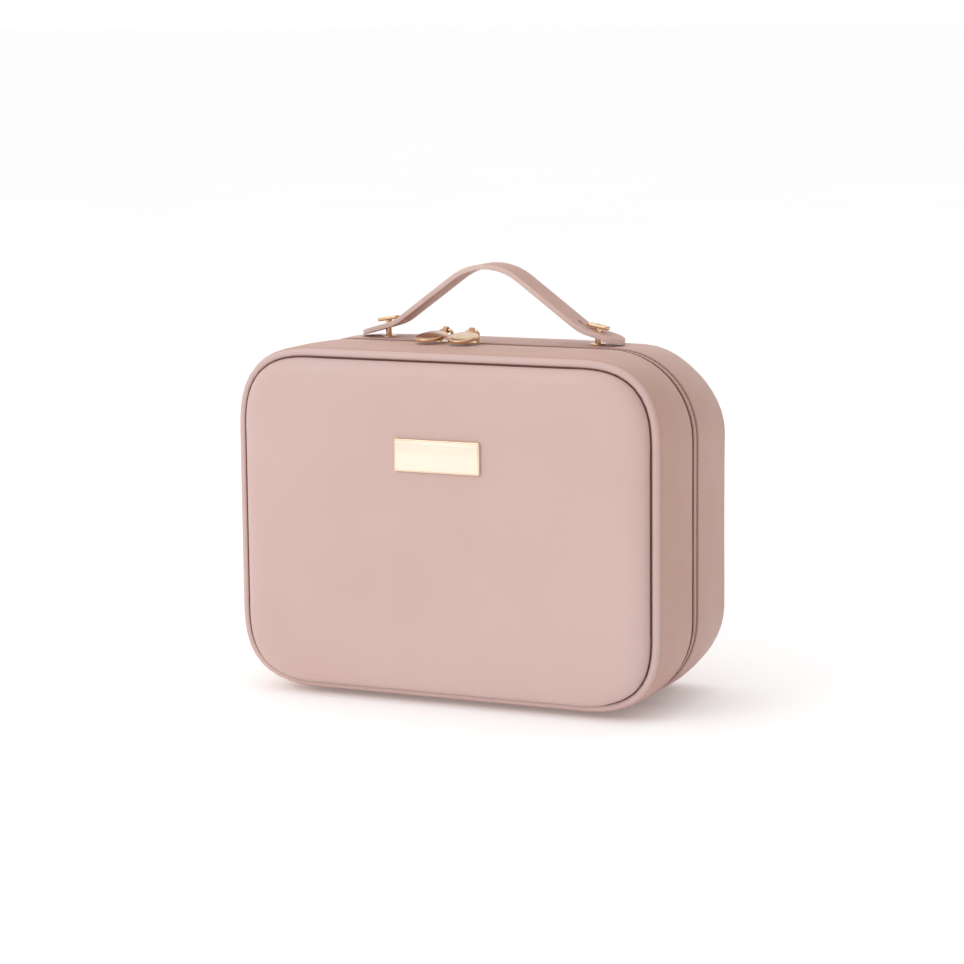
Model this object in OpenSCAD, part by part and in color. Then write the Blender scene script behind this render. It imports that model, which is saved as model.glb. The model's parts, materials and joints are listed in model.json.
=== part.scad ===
// Soft zip-round makeup case with a press-flat top handle.
// X runs across the case, the front faces -Y, and the case stands on Z = 0.

/* [Case] */
// Width over the side walls
case_w = 263; // [240:1:290]
// Height over the top and bottom walls
case_h = 201.5; // [185:0.5:220]
// Depth from the nameplate's face to the back panel
case_d = 121; // [112:1:135]
// Corner radius of the walls
corner_r = 49; // [40:1:56]
// Depth of the zipper band below the walls' surface
band_drop = 1; // [0.5:0.25:1.5]
// Thickness of the padded side walls
wall_t = 3; // [2:0.5:4]
// Thickness of the fabric lining
lining_t = 1; // [0.8:0.1:1.5]
// Radius of the soft back edge
back_edge_r = 12; // [8:1:14]

/* [Front panel] */
// Distance from the front seam back to the zipper's centre line
seam_to_zip = 52.5; // [45:0.5:54]
// How far the padded front stands ahead of its seam
crown = 6.7; // [4:0.1:9]
// Diameter of the piping round the front
piping_d = 4.8; // [3:0.1:6]
// Depth of the piping below the walls' surface
piping_drop = 0.8; // [0.4:0.1:1.5]
// Nameplate width
plate_w = 53; // [40:1:60]
// Nameplate height
plate_h = 18.5; // [12:0.5:22]
// Nameplate thickness
plate_t = 1.8; // [1:0.1:2.5]
// Height of the nameplate's centre above the case's middle
plate_rise = 43; // [30:1:50]

/* [Zipper] */
// Width of each half of the zipper tape
tape_w = 4.1; // [3.5:0.1:5]
// Thickness of the tape
tape_t = 1.4; // [1:0.1:1.8]
// Width and thickness of each coil
coil_w = 1.6; // [1.2:0.1:1.8]
// Half of the gap between the two coils
coil_gap = 0.6; // [0.5:0.05:0.8]
// Length of a slider
slider_l = 11; // [9:0.5:12]
// Width of a slider
slider_w = 8.4; // [7:0.1:8.6]
// Places of the two sliders across the case
slider_x = [-22.5, -6];
// Width of a pull
pull_w = 17; // [14:0.5:18]
// Length of a pull's oval
pull_l = 22; // [18:1:26]
// Thickness of a pull
pull_t = 2; // [1.5:0.1:2.4]

/* [Handle] */
// Width of the strap
strap_w = 18; // [14:1:18]
// Thickness of the strap
strap_t = 2.8; // [2:0.1:3.5]
// Distance from the front seam back to the strap's middle
seam_to_strap = 66.5; // [66:0.5:72]
// Half the span over the strap's ends
strap_half_span = 82; // [80:1:84]
// Distance of each stud from the middle
stud_x = 66.5; // [66:0.5:68]
// Slope of the strap at its ends
end_slope = 16; // [14:1:18]
// Slope of the strap's rising stretches
leg_slope = 36; // [34:1:38]

/* [Inside] */
// Thickness of a padded divider
divider_t = 6; // [4:0.5:8]
// Number of elastic brush loops
loop_count = 6; // [4:1:7]
// Height of the slip pocket
pocket_h = 62; // [50:1:80]

/* [Hidden] */
$fn = 96;
HULL_FN = 32;

SKIN = "#d9bbb3";
LINING = "#e8d9d2";
GOLD = "#d6b286";
eps = 0.01;
over = 1;

// Planes along Y.
front_y = -case_d / 2;
rear_y = case_d / 2;
apex_y = front_y + plate_t;
seam_y = apex_y + crown;
zip_y = seam_y + seam_to_zip;
tape_reach = coil_gap + tape_w;
piping_r = piping_d / 2;
piping_y = seam_y + 1.8;
wall_front_y = piping_y + piping_r;
panel_back_y = seam_y + 4;
board_t = 2;
lid_inner_y = panel_back_y + board_t + lining_t;
back_edge_y = rear_y - back_edge_r;
back_pad = 3.5;
back_board_t = 2.5;
rear_inner_y = rear_y - back_pad - back_board_t - lining_t;

// Outlines across X and Z.
liner_z = wall_t + lining_t;
liner_r = corner_r - liner_z;
clear_w = case_w - 2 * liner_z;
clear_h = case_h - 2 * liner_z;
band_w = case_w - 2 * band_drop;
band_h = case_h - 2 * band_drop;
band_r = corner_r - band_drop;
mid_z = case_h / 2;
top_z = case_h;
panel_gap = 0.2;

module rounded_rect(w, h, r) {
    square([w - 2 * r, h], center = true);
    square([w, h - 2 * r], center = true);
    for (x = [-1, 1], z = [-1, 1])
        translate([x * (w / 2 - r), z * (h / 2 - r)]) circle(r);
}

// Upright slab from y0 to y1 whose lowest edge is at z0.
module slab(y0, y1, w, h, r, z0 = 0) {
    translate([0, y1, z0 + h / 2]) rotate([90, 0, 0])
        linear_extrude(y1 - y0) rounded_rect(w, h, r);
}

// Hoop of wall thickness t, open along Y.
module hoop(y0, y1, w, h, r, t, z0 = 0) {
    difference() {
        slab(y0, y1, w, h, r, z0);
        slab(y0 - over, y1 + over, w - 2 * t, h - 2 * t, r - t, z0 + t);
    }
}

// Block centred on X, between two Y planes and two heights.
module block(w, y0, y1, z0, z1, x = 0) {
    translate([x - w / 2, y0, z0]) cube([w, y1 - y0, z1 - z0]);
}

// ---- Lid: the front half ----

// Padded front: slices that shrink as they rise towards the flat middle.
module front_panel() {
    rim = piping_drop + piping_d + panel_gap;
    full_w = case_w - 2 * rim;
    full_h = case_h - 2 * rim;
    full_r = corner_r - rim;
    slices = [[0, 0], [0.45, 1.5], [0.8, 5], [1, 12]];
    color(SKIN) hull() {
        slab(seam_y, panel_back_y, full_w, full_h, full_r, mid_z - full_h / 2, $fn = HULL_FN);
        for (s = slices)
            slab(seam_y - s[0] * crown, seam_y - s[0] * crown + eps, full_w - 2 * s[1],
                full_h - 2 * s[1], full_r - s[1], mid_z - full_h / 2 + s[1], $fn = HULL_FN);
    }
}

module front_board() {
    color("tan") slab(panel_back_y, panel_back_y + board_t, clear_w - 6, clear_h - 6,
        liner_r - 3, liner_z + 3);
}

// Round piping: four quarter bends joined by four straight runs.
module front_piping() {
    sink = piping_drop + piping_r;
    path_w = case_w - 2 * sink;
    path_h = case_h - 2 * sink;
    bend_r = corner_r - sink;
    half_x = path_w / 2 - bend_r;
    half_z = path_h / 2 - bend_r;
    color(SKIN) translate([0, piping_y, mid_z]) rotate([90, 0, 0]) {
        for (q = [[1, 1, 0], [-1, 1, 90], [-1, -1, 180], [1, -1, 270]])
            translate([q[0] * half_x, q[1] * half_z, 0]) rotate([0, 0, q[2]])
                rotate_extrude(angle = 90) translate([bend_r, 0]) circle(piping_r);
        for (side = [-1, 1]) {
            translate([-half_x, side * path_h / 2, 0]) rotate([0, 90, 0])
                cylinder(h = 2 * half_x, r = piping_r);
            translate([side * path_w / 2, half_z, 0]) rotate([90, 0, 0])
                cylinder(h = 2 * half_z, r = piping_r);
        }
    }
}

module lid_gusset() {
    color(SKIN) hoop(wall_front_y, zip_y - tape_reach, case_w, case_h, corner_r, wall_t);
}

module lid_lining() {
    color(LINING) difference() {
        slab(panel_back_y + board_t, zip_y - tape_reach, case_w - 2 * wall_t,
            case_h - 2 * wall_t, corner_r - wall_t, wall_t);
        slab(lid_inner_y, zip_y, clear_w, clear_h, liner_r, liner_z);
    }
}

// Half of the zipper's tape, left open along the straight bottom edge.
module tape_half(y0) {
    difference() {
        hoop(y0, y0 + tape_w, band_w, band_h, band_r, tape_t, band_drop);
        bottom_gap(y0);
    }
}

module coil_half(y0) {
    difference() {
        hoop(y0, y0 + coil_w, band_w - 2 * tape_t, band_h - 2 * tape_t, band_r - tape_t,
            coil_w, band_drop + tape_t);
        bottom_gap(y0);
    }
}

bottom_half_w = case_w / 2 - corner_r + 0.5;

module bottom_gap(y0) {
    block(2 * bottom_half_w, y0 - over, y0 + 2 * tape_w, -over, corner_r / 2);
}

module zipper_tape_front() {
    color(SKIN) tape_half(zip_y - tape_reach);
}

module zipper_coil_front() {
    color(SKIN) coil_half(zip_y - coil_gap - coil_w);
}

plate_z = mid_z + plate_rise;

// Plate with a bevelled border standing on the padded front.
module nameplate() {
    bevel = 0.6;
    color(GOLD) hull() {
        block(plate_w, apex_y - plate_t + bevel, apex_y, plate_z - plate_h / 2, plate_z + plate_h / 2);
        block(plate_w - 2 * bevel, front_y, apex_y, plate_z - plate_h / 2 + bevel,
            plate_z + plate_h / 2 - bevel);
    }
}

// Two prong tabs folded flat behind the stiffener's face.
module nameplate_prongs() {
    prong_x = plate_w / 2 - 6;
    color(GOLD) for (x = [-prong_x, prong_x])
        block(6, lid_inner_y, lid_inner_y + 0.6, plate_z - 4, plate_z + 4, x);
}

brush_back_y = lid_inner_y + 0.7;
brush_panel_t = 2;
brush_face_y = brush_back_y + brush_panel_t;
brush_w = 226;
brush_z0 = 14;
brush_z1 = 186;

// Padded board that carries the brush loops and the slip pocket.
module brush_panel() {
    color(LINING) slab(brush_back_y, brush_face_y, brush_w, brush_z1 - brush_z0, 30, brush_z0);
}

loop_pitch = 32;
loop_w = 22;
loop_depth = 8;
loop_z0 = 112;
loop_z1 = 134;
elastic_t = 1;

// Elastic loops, each open upwards and downwards for a brush.
module brush_loops() {
    color("#c9a59b") for (i = [0 : loop_count - 1]) {
        x = (i - (loop_count - 1) / 2) * loop_pitch;
        difference() {
            block(loop_w, brush_face_y, brush_face_y + loop_depth, loop_z0, loop_z1, x);
            block(loop_w - 2 * elastic_t, brush_face_y - over, brush_face_y + loop_depth - elastic_t,
                loop_z0 - over, loop_z1 + over, x);
        }
    }
}

pocket_w = 214;
pocket_z0 = 22;
pocket_depth = 9;
pocket_t = 0.8;
hem_h = 7;

// Slip pocket, open at its top.
module slip_pocket() {
    pocket_z1 = pocket_z0 + pocket_h;
    color(LINING, 0.6) difference() {
        block(pocket_w, brush_face_y, brush_face_y + pocket_depth, pocket_z0, pocket_z1);
        block(pocket_w - 2 * pocket_t, brush_face_y - over, brush_face_y + pocket_depth - pocket_t,
            pocket_z0 + pocket_t, pocket_z1 + over);
    }
}

// Elastic hem along the pocket's mouth.
module pocket_hem() {
    color("#c9a59b") block(pocket_w, brush_face_y + pocket_depth - pocket_t,
        brush_face_y + pocket_depth + pocket_t, pocket_z0 + pocket_h, pocket_z0 + pocket_h + hem_h);
}

// ---- Rear half ----

strap_y = seam_y + seam_to_strap;
post_r = 1.8;
post_clear = 0.1;

module post_holes() {
    for (side = [-1, 1])
        translate([side * stud_x, strap_y, top_z - 2 * liner_z])
            cylinder(h = 3 * liner_z, r = post_r + post_clear);
}

module rear_gusset() {
    color(SKIN) difference() {
        hoop(zip_y + tape_reach, back_edge_y, case_w, case_h, corner_r, wall_t);
        post_holes();
    }
}

// Padded back with a quarter-round edge, hollowed for its lining and stiffener.
module rear_panel() {
    color(SKIN) difference() {
        hull() for (a = [0 : 30 : 90]) {
            inset = back_edge_r * (1 - cos(a));
            face_y = back_edge_y + back_edge_r * sin(a);
            slab(min(face_y, rear_y - eps), min(face_y, rear_y - eps) + eps, case_w - 2 * inset,
                case_h - 2 * inset, corner_r - inset, inset, $fn = 2 * HULL_FN);
        }
        slab(back_edge_y - over, rear_inner_y + lining_t, case_w - 2 * wall_t, case_h - 2 * wall_t,
            corner_r - wall_t, wall_t);
        slab(back_edge_y, rear_y - back_pad, clear_w - 12, clear_h - 12, liner_r - 6, liner_z + 6);
    }
}

module rear_board() {
    color("tan") slab(rear_inner_y + lining_t, rear_y - back_pad, clear_w - 13, clear_h - 13,
        liner_r - 6.5, liner_z + 6.5);
}

module rear_lining() {
    color(LINING) difference() {
        slab(zip_y + tape_reach, rear_inner_y + lining_t, case_w - 2 * wall_t,
            case_h - 2 * wall_t, corner_r - wall_t, wall_t);
        slab(zip_y, rear_inner_y, clear_w, clear_h, liner_r, liner_z);
        post_holes();
    }
}

module zipper_tape_rear() {
    color(SKIN) tape_half(zip_y + coil_gap);
}

module zipper_coil_rear() {
    color(SKIN) coil_half(zip_y + coil_gap);
}

hinge_play = 0.3;
strip_z = 0.5;

// Flexing strip that joins the two halves along the bottom.
module hinge_strip() {
    reach = tape_reach - hinge_play;
    color(SKIN) block(2 * bottom_half_w - 1, zip_y - reach, zip_y + reach, strip_z, strip_z + 1.2);
}

// Cloth tabs that close off the tape's two ends behind the hinge line.
module zipper_end_tabs() {
    color(SKIN) for (side = [-1, 1])
        block(9, zip_y + coil_gap + coil_w + 0.1, zip_y + tape_reach + 5, liner_z, liner_z + 0.8,
            side * (bottom_half_w - 6));
}

// Strap reference points on its underside, on the right-hand side.
tip_lift = 0.8;
stud_gap = 1.65;
elbow_x = 58;
shoulder_x = 20;
elbow = [elbow_x, top_z + tip_lift + (strap_half_span - elbow_x) * tan(end_slope)];
shoulder = [shoulder_x, elbow[1] + (elbow_x - shoulder_x) * tan(leg_slope)];
crown_r = shoulder[0] / sin(leg_slope);
crown_z = shoulder[1] - crown_r * cos(leg_slope);
end_l = (strap_half_span - elbow[0]) / cos(end_slope);
leg_l = (elbow[0] - shoulder[0]) / cos(leg_slope);
bend_play = 0.8;

bar_l = 14;
bar_w = 5;
bar_t = 2;
bar_tilt = 10;
strap_top_at_stud = elbow[1] - (stud_x - elbow[0]) * tan(end_slope) + strap_t / cos(end_slope);
bar_z = strap_top_at_stud + stud_gap;

// Collared post with a bar head that lies along the strap.
module handle_stud(side) {
    post_z0 = top_z - liner_z - 1.2;
    color(GOLD) translate([side * stud_x, strap_y, 0]) difference() {
        union() {
            translate([0, 0, post_z0]) cylinder(h = bar_z + bar_t / 2 - post_z0, r = post_r);
            translate([0, 0, top_z]) cylinder(h = 1, r = 4.5);
            translate([0, 0, bar_z]) rotate([0, side * bar_tilt, 0]) {
                block(bar_l - bar_w, -bar_w / 2, bar_w / 2, 0, bar_t);
                for (x = [-1, 1]) translate([x * (bar_l - bar_w) / 2, 0, 0])
                    cylinder(h = bar_t, r = bar_w / 2);
            }
        }
        translate([0, 0, post_z0 - over]) cylinder(h = 9 + over, r = 1.3);
    }
}

module handle_stud_left() {
    handle_stud(-1);
}

module handle_stud_right() {
    handle_stud(1);
}

washer_t = 1.2;

module stud_washers() {
    color("silver") for (side = [-1, 1])
        translate([side * stud_x, strap_y, top_z - liner_z - washer_t]) difference() {
            cylinder(h = washer_t, r = 7);
            translate([0, 0, -over]) cylinder(h = washer_t + 2 * over, r = post_r + post_clear);
        }
}

module stud_screws() {
    color("silver") for (side = [-1, 1])
        translate([side * stud_x, strap_y, top_z - liner_z - washer_t]) {
            translate([0, 0, -1.8]) cylinder(h = 1.8, r = 4);
            cylinder(h = 8, r = 1.2);
        }
}

divider_y0 = zip_y + tape_reach + 2;
divider_z = mid_z;
cross_x = 42;

module divider_long() {
    color(LINING) block(clear_w - 0.6, divider_y0, rear_inner_y, divider_z - divider_t / 2,
        divider_z + divider_t / 2);
}

module divider_cross(x, z0, z1) {
    color(LINING) block(divider_t, divider_y0 + 1, rear_inner_y, z0, z1, x);
}

cross_top = liner_z + clear_h - 0.3;

module divider_upper_left() {
    divider_cross(-cross_x, divider_z + divider_t / 2, cross_top);
}

module divider_upper_right() {
    divider_cross(cross_x, divider_z + divider_t / 2, cross_top);
}

module divider_lower() {
    divider_cross(0, liner_z + 0.3, divider_z - divider_t / 2);
}

flap_l = 14;
flap_t = 1;

// Hook-and-loop flaps beside each divider's end.
module divider_flaps() {
    y0 = divider_y0 + 4;
    y1 = rear_inner_y - 4;
    reach = divider_t / 2;
    side_x = clear_w / 2 - 0.3 - flap_t / 2;
    color("#c9a59b") for (s = [-1, 1]) {
        for (e = [-1, 1])
            block(flap_t, y0, y1, divider_z + s * (reach + flap_l / 2) - flap_l / 2,
                divider_z + s * (reach + flap_l / 2) + flap_l / 2, e * side_x);
        for (x = [-cross_x, cross_x])
            block(flap_l, y0, y1, cross_top - flap_t, cross_top, x + s * (reach + flap_l / 2));
        block(flap_l, y0, y1, liner_z + 0.3, liner_z + 0.3 + flap_t, s * (reach + flap_l / 2));
    }
}

// ---- Zipper sliders and pulls ----

slider_gap = 0.3;
slider_top_z = case_h - band_drop + slider_gap;
slider_plate_t = 1.3;
slider_low_z = case_h - band_drop - tape_t - coil_w - slider_gap - slider_plate_t;
axle_z = slider_top_z + 7.5;
axle_r = 0.9;

// Two plates joined by a thin wedge, with a bridge that holds the pull.
module slider(x) {
    wedge_t = 2 * (coil_gap - slider_gap);
    post_x = slider_l / 2 - 1.6;
    color(GOLD) translate([x, zip_y, 0]) {
        for (z = [slider_low_z, slider_top_z]) {
            block(slider_l - slider_w / 2, -slider_w / 2, slider_w / 2, z, z + slider_plate_t);
            for (e = [-1, 1]) translate([e * (slider_l / 2 - slider_w / 4), 0, z])
                intersection() {
                    cylinder(h = slider_plate_t, r = slider_w / 2);
                    block(slider_w / 2, -slider_w, slider_w, 0, slider_plate_t);
                }
        }
        block(5, -wedge_t / 2, wedge_t / 2, slider_low_z + slider_plate_t / 2,
            slider_top_z + slider_plate_t / 2);
        for (e = [-1, 1])
            block(1.6, -1.3, 1.3, slider_top_z + slider_plate_t / 2, axle_z + axle_r, e * post_x);
        translate([-post_x, 0, axle_z]) rotate([0, 90, 0]) cylinder(h = 2 * post_x, r = axle_r);
    }
}

module slider_left() {
    slider(slider_x[0]);
}

module slider_right() {
    slider(slider_x[1]);
}

pull_tilt = 8;
pull_splay = 6.5;
eye_r = 2.1;
eye_bore_r = 1.2;
eye_w = 3.4;

// Oval plate with a raised rim, hung by an eye on the slider's bridge.
module pull(x, splay) {
    oval_y = -(eye_r + 3 + pull_l / 2);
    rim_r = pull_w / 2;
    color(GOLD) translate([x, zip_y, axle_z]) difference() {
        union() {
            rotate([0, 90, 0]) cylinder(h = eye_w, r = eye_r, center = true);
            rotate([pull_tilt, 0, splay]) {
                block(eye_w, oval_y, 0, -pull_t / 2, pull_t / 2);
                for (e = [-1, 1])
                    translate([0, oval_y + e * (pull_l / 2 - rim_r), -pull_t / 2])
                        cylinder(h = pull_t, r = rim_r);
                block(pull_w, oval_y - pull_l / 2 + rim_r, oval_y + pull_l / 2 - rim_r,
                    -pull_t / 2, pull_t / 2);
            }
        }
        rotate([0, 90, 0]) cylinder(h = 2 * eye_w, r = eye_bore_r, center = true);
    }
}

module pull_left() {
    pull(slider_x[0], -pull_splay);
}

module pull_right() {
    pull(slider_x[1], pull_splay);
}

// ---- Handle strap, in five stretches that bend against each other ----

module strap_crown() {
    sweep = 2 * (leg_slope - bend_play / crown_r * 180 / PI);
    color(SKIN) translate([0, strap_y, crown_z]) rotate([90, 0, 0]) rotate([0, 0, 90 - sweep / 2])
        rotate_extrude(angle = sweep) translate([crown_r, -strap_w / 2]) square([strap_t, strap_w]);
}

slot_r = 2.4;
slot_in_leg = 1.8;
slot_to = (stud_x - elbow[0]) / cos(end_slope) + 0.6;

// Slot along the strap, from x0 to x1 between its round ends' centres.
module post_slot(x0, x1) {
    for (x = [x0, x1])
        translate([x, 0, -over]) cylinder(h = strap_t + 2 * over, r = slot_r);
    translate([x0, -slot_r, -over]) cube([x1 - x0, 2 * slot_r, strap_t + 2 * over]);
}

// Rising stretch, whose outer end holds the start of the slot.
module strap_leg(side) {
    color(SKIN) mirror([side < 0 ? 1 : 0, 0, 0]) translate([shoulder[0], strap_y, shoulder[1]])
        rotate([0, leg_slope, 0]) difference() {
            translate([bend_play, -strap_w / 2, 0]) cube([leg_l - 2 * bend_play, strap_w, strap_t]);
            post_slot(leg_l - slot_in_leg, leg_l + slot_r);
        }
}

module strap_leg_left() {
    strap_leg(-1);
}

module strap_leg_right() {
    strap_leg(1);
}

// Rounded end with the rest of the slot, which runs along its stud's post.
module strap_end(side) {
    end_r = strap_w / 2;
    color(SKIN) mirror([side < 0 ? 1 : 0, 0, 0]) translate([elbow[0], strap_y, elbow[1]])
        rotate([0, end_slope, 0]) difference() {
            union() {
                translate([bend_play, -end_r, 0]) cube([end_l - end_r - bend_play, strap_w, strap_t]);
                translate([end_l - end_r, 0, 0]) cylinder(h = strap_t, r = end_r);
            }
            post_slot(-slot_r, slot_to);
        }
}

module strap_end_left() {
    strap_end(-1);
}

module strap_end_right() {
    strap_end(1);
}

front_panel();
front_board();
front_piping();
lid_gusset();
lid_lining();
zipper_tape_front();
zipper_coil_front();
nameplate();
nameplate_prongs();
brush_panel();
brush_loops();
slip_pocket();
pocket_hem();
rear_gusset();
rear_panel();
rear_board();
rear_lining();
zipper_tape_rear();
zipper_coil_rear();
hinge_strip();
zipper_end_tabs();
handle_stud_left();
handle_stud_right();
stud_washers();
stud_screws();
divider_long();
divider_upper_left();
divider_upper_right();
divider_lower();
divider_flaps();
slider_left();
slider_right();
pull_left();
pull_right();
strap_crown();
strap_leg_left();
strap_leg_right();
strap_end_left();
strap_end_right();
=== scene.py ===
"""A soft zip-round makeup case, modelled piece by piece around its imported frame."""

import contextlib
import json
import math

import bmesh
import bpy
from mathutils import Matrix, Vector


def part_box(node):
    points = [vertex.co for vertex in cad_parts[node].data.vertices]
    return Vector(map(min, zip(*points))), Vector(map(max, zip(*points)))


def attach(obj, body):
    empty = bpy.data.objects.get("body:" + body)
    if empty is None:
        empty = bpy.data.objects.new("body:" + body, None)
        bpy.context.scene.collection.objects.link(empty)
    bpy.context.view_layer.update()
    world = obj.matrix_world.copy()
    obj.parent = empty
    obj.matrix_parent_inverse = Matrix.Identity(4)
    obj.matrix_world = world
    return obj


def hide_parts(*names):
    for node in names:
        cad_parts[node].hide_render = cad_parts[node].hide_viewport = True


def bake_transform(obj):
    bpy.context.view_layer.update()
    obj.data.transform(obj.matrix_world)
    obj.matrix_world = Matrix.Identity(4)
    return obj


bl_info = {
    "name": "Makeup Train Case",
    "version": (1, 0, 0),
    "blender": (4, 5, 0),
    "location": "3D View > Sidebar > Train Case",
    "description": "Builds a padded zip-round makeup case with a press-flat handle",
    "category": "Add Mesh",
}

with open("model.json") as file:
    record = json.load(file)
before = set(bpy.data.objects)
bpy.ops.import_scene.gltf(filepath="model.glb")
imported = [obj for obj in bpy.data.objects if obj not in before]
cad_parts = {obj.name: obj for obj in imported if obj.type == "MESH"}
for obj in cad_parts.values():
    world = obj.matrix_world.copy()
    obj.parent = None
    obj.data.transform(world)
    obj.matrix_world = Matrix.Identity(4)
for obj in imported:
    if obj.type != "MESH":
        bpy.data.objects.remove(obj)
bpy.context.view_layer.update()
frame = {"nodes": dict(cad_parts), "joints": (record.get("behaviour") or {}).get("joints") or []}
JOINTS = {joint["name"]: joint for joint in frame["joints"]}

MM = 0.001
MERGE_GAP = 0.01 * MM
LID = "lid"
REAR = "rear_half"

# Planes and outlines, read from the frame.
WALL_LOW, WALL_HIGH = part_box("lid_gusset")
REAR_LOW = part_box("rear_gusset")[0]
PANEL_LOW, PANEL_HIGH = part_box("front_panel")
WELT_LOW, WELT_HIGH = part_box("front_piping")
BACK_LOW, BACK_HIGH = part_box("rear_panel")
LID_CLOTH_LOW, LID_CLOTH_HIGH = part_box("lid_lining")
REAR_CLOTH_LOW, REAR_CLOTH_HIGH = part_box("rear_lining")
CASE_W = WALL_HIGH.x - WALL_LOW.x
CASE_H = WALL_HIGH.z - WALL_LOW.z
MID_Z = (WALL_HIGH.z + WALL_LOW.z) / 2
CORNER_R = 49 * MM
CORNER_STEPS = 12
STRAIGHT_STEP = 8 * MM
WALL_T = WALL_HIGH.x - LID_CLOTH_HIGH.x
LINING_T = 1 * MM
BAND_DROP = WALL_HIGH.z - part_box("zipper_tape_front")[1].z
ZIP_Y = JOINTS["lid_hinge"]["pos_m"][1]
WELT_Y = (WELT_LOW.y + WELT_HIGH.y) / 2
WELT_R = (WELT_HIGH.y - WELT_LOW.y) / 2
SEAM_Y = PANEL_HIGH.y - 4 * MM

# Softened shapes: the turned rear edge, the corners and the front lower edge.
BACK_TURN_R = 14 * MM
BACK_TAPER = 1.3 * MM
CORNER_EASE = 2 * MM
SHOULDER_DROP = 3 * MM
CORNER_FILL = 4 * MM
TOE_LIFT = 3.6 * MM

# The handle, whose right half is modelled and mirrored.
WASHER_R = 7 * MM
BAR_HALF = 7 * MM
BAR_T = 2 * MM
STUD_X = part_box("stud_washers")[1].x - WASHER_R
SHOULDER = Vector(JOINTS["leg_right_bend"]["pos_m"])
STRAP_Y = SHOULDER.y
ELBOW = Vector(JOINTS["end_right_bend"]["pos_m"])
STRAP_LOW, STRAP_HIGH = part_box("strap_end_right")
STRAP_W = STRAP_HIGH.y - STRAP_LOW.y
STRAP_T = 2.8 * MM
STRAP_SLOT_R = 2.4 * MM
LEG_SLOPE = math.atan2(SHOULDER.z - ELBOW.z, ELBOW.x - SHOULDER.x)
END_SLOPE = math.radians(16)


# ---- User settings ----

def length(name, text, default):
    """A length property, in metres."""
    return bpy.props.FloatProperty(name=name, description=text, default=default, unit="LENGTH")


def tint(name, text, default):
    """A colour property, as linear values."""
    return bpy.props.FloatVectorProperty(name=name, description=text, default=default, subtype="COLOR",
                                         size=3, min=0.0, max=1.0)


class TrainCaseSizes(bpy.types.PropertyGroup):
    """Sizes of the trimmings that the frame leaves open."""

    seam_gap: length("Seam gap", "Gap between the front cushion's rim and the welt", 0.2 * MM)
    wall_bulge: length("Wall bulge", "How far the padded walls swell between their edges", 0.7 * MM)
    tooth_pitch: length("Tooth pitch", "Distance between two teeth of a coil", 1.7 * MM)
    stitch_pitch: length("Stitch pitch", "Distance between two stitches", 3.2 * MM)
    thread: length("Thread", "Thickness of the sewing thread", 0.45 * MM)


class TrainCaseColours(bpy.types.PropertyGroup):
    """Base colours of the case's finishes."""

    skin: tint("Leather", "Dusty pink coated leather", (0.625, 0.45, 0.42))
    # Darker leather tone: the random clouding of the leather, and, mixed in further, the painted shade of
    # the walls, the back and the strap.
    skin_deep_and_shade: tint("Leather shade", "Darker tone in the leather's hollows", (0.56, 0.345, 0.285))
    # Painted shade: a dark colour for the crevice between cushion and welt and for the groove at the
    # lid's zip tape; the stitching thread mixes a little of it in, and the rear tape's softer shadow line
    # mixes it into the tape colour.
    seam: tint("Seam", "Shaded thread and fold between cushion and welt", (0.15, 0.062, 0.05))
    tape: tint("Zip tape", "Woven zip tape", (0.56, 0.35, 0.285))
    lining: tint("Lining", "Woven lining cloth", (0.76, 0.62, 0.55))
    elastic: tint("Elastic", "Ribbed elastic and binding", (0.56, 0.35, 0.29))
    gold: tint("Gold", "Pale rose gold of sliders, pulls and studs", (0.74, 0.50, 0.31))
    plate: tint("Nameplate", "Champagne gold of the nameplate", (0.95, 0.84, 0.70))
    board: tint("Board", "Grey-brown stiffener board", (0.32, 0.25, 0.19))
    steel: tint("Steel", "Zinc-plated washers and screws", (0.62, 0.62, 0.60))


def sizes():
    return bpy.context.scene.train_case_sizes


def colours():
    return bpy.context.scene.train_case_colours


# ---- Modelling helpers ----

def clear_selection():
    bpy.ops.object.select_all(action="DESELECT")


def activate(obj):
    clear_selection()
    obj.select_set(True)
    bpy.context.view_layer.objects.active = obj


@contextlib.contextmanager
def editing(obj):
    """Edit mode on one object, with all of its mesh selected."""
    activate(obj)
    bpy.ops.object.mode_set(mode="EDIT")
    bpy.ops.mesh.select_all(action="SELECT")
    yield
    bpy.ops.object.mode_set(mode="OBJECT")


def pick(obj, kind, test):
    """Selects only the points, edges or faces that pass the test, in edit mode."""
    bpy.ops.mesh.select_mode(type=kind)
    bpy.ops.mesh.select_all(action="DESELECT")
    shape = bmesh.from_edit_mesh(obj.data)
    parts = {"VERT": shape.verts, "EDGE": shape.edges, "FACE": shape.faces}[kind]
    for part in parts:
        if test(part):
            part.select_set(True)
    bmesh.update_edit_mesh(obj.data)


def named(name):
    """Names and returns the object that was just added."""
    obj = bpy.context.object
    obj.name = name
    obj.data.name = name
    return obj


def add_block(name, low, high):
    """A cube that fills the box between two corners."""
    clear_selection()
    low, high = Vector(low), Vector(high)
    bpy.ops.mesh.primitive_cube_add(size=1, location=(low + high) / 2)
    block = named(name)
    block.scale = high - low
    bpy.ops.object.transform_apply()
    return block


def add_disc(name, centre, radius, depth, sides=48):
    """An upright cylinder about its centre."""
    clear_selection()
    bpy.ops.mesh.primitive_cylinder_add(vertices=sides, radius=radius, depth=depth, location=centre)
    disc = named(name)
    bpy.ops.object.transform_apply()
    return disc


def add_grid(name, cells_x, cells_y, width=1, height=1):
    """A flat grid on the ground plane about the origin."""
    clear_selection()
    bpy.ops.mesh.primitive_grid_add(x_subdivisions=cells_x, y_subdivisions=cells_y, size=1)
    grid = named(name)
    grid.scale = (width, height, 1)
    bpy.ops.object.transform_apply()
    return grid


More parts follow.
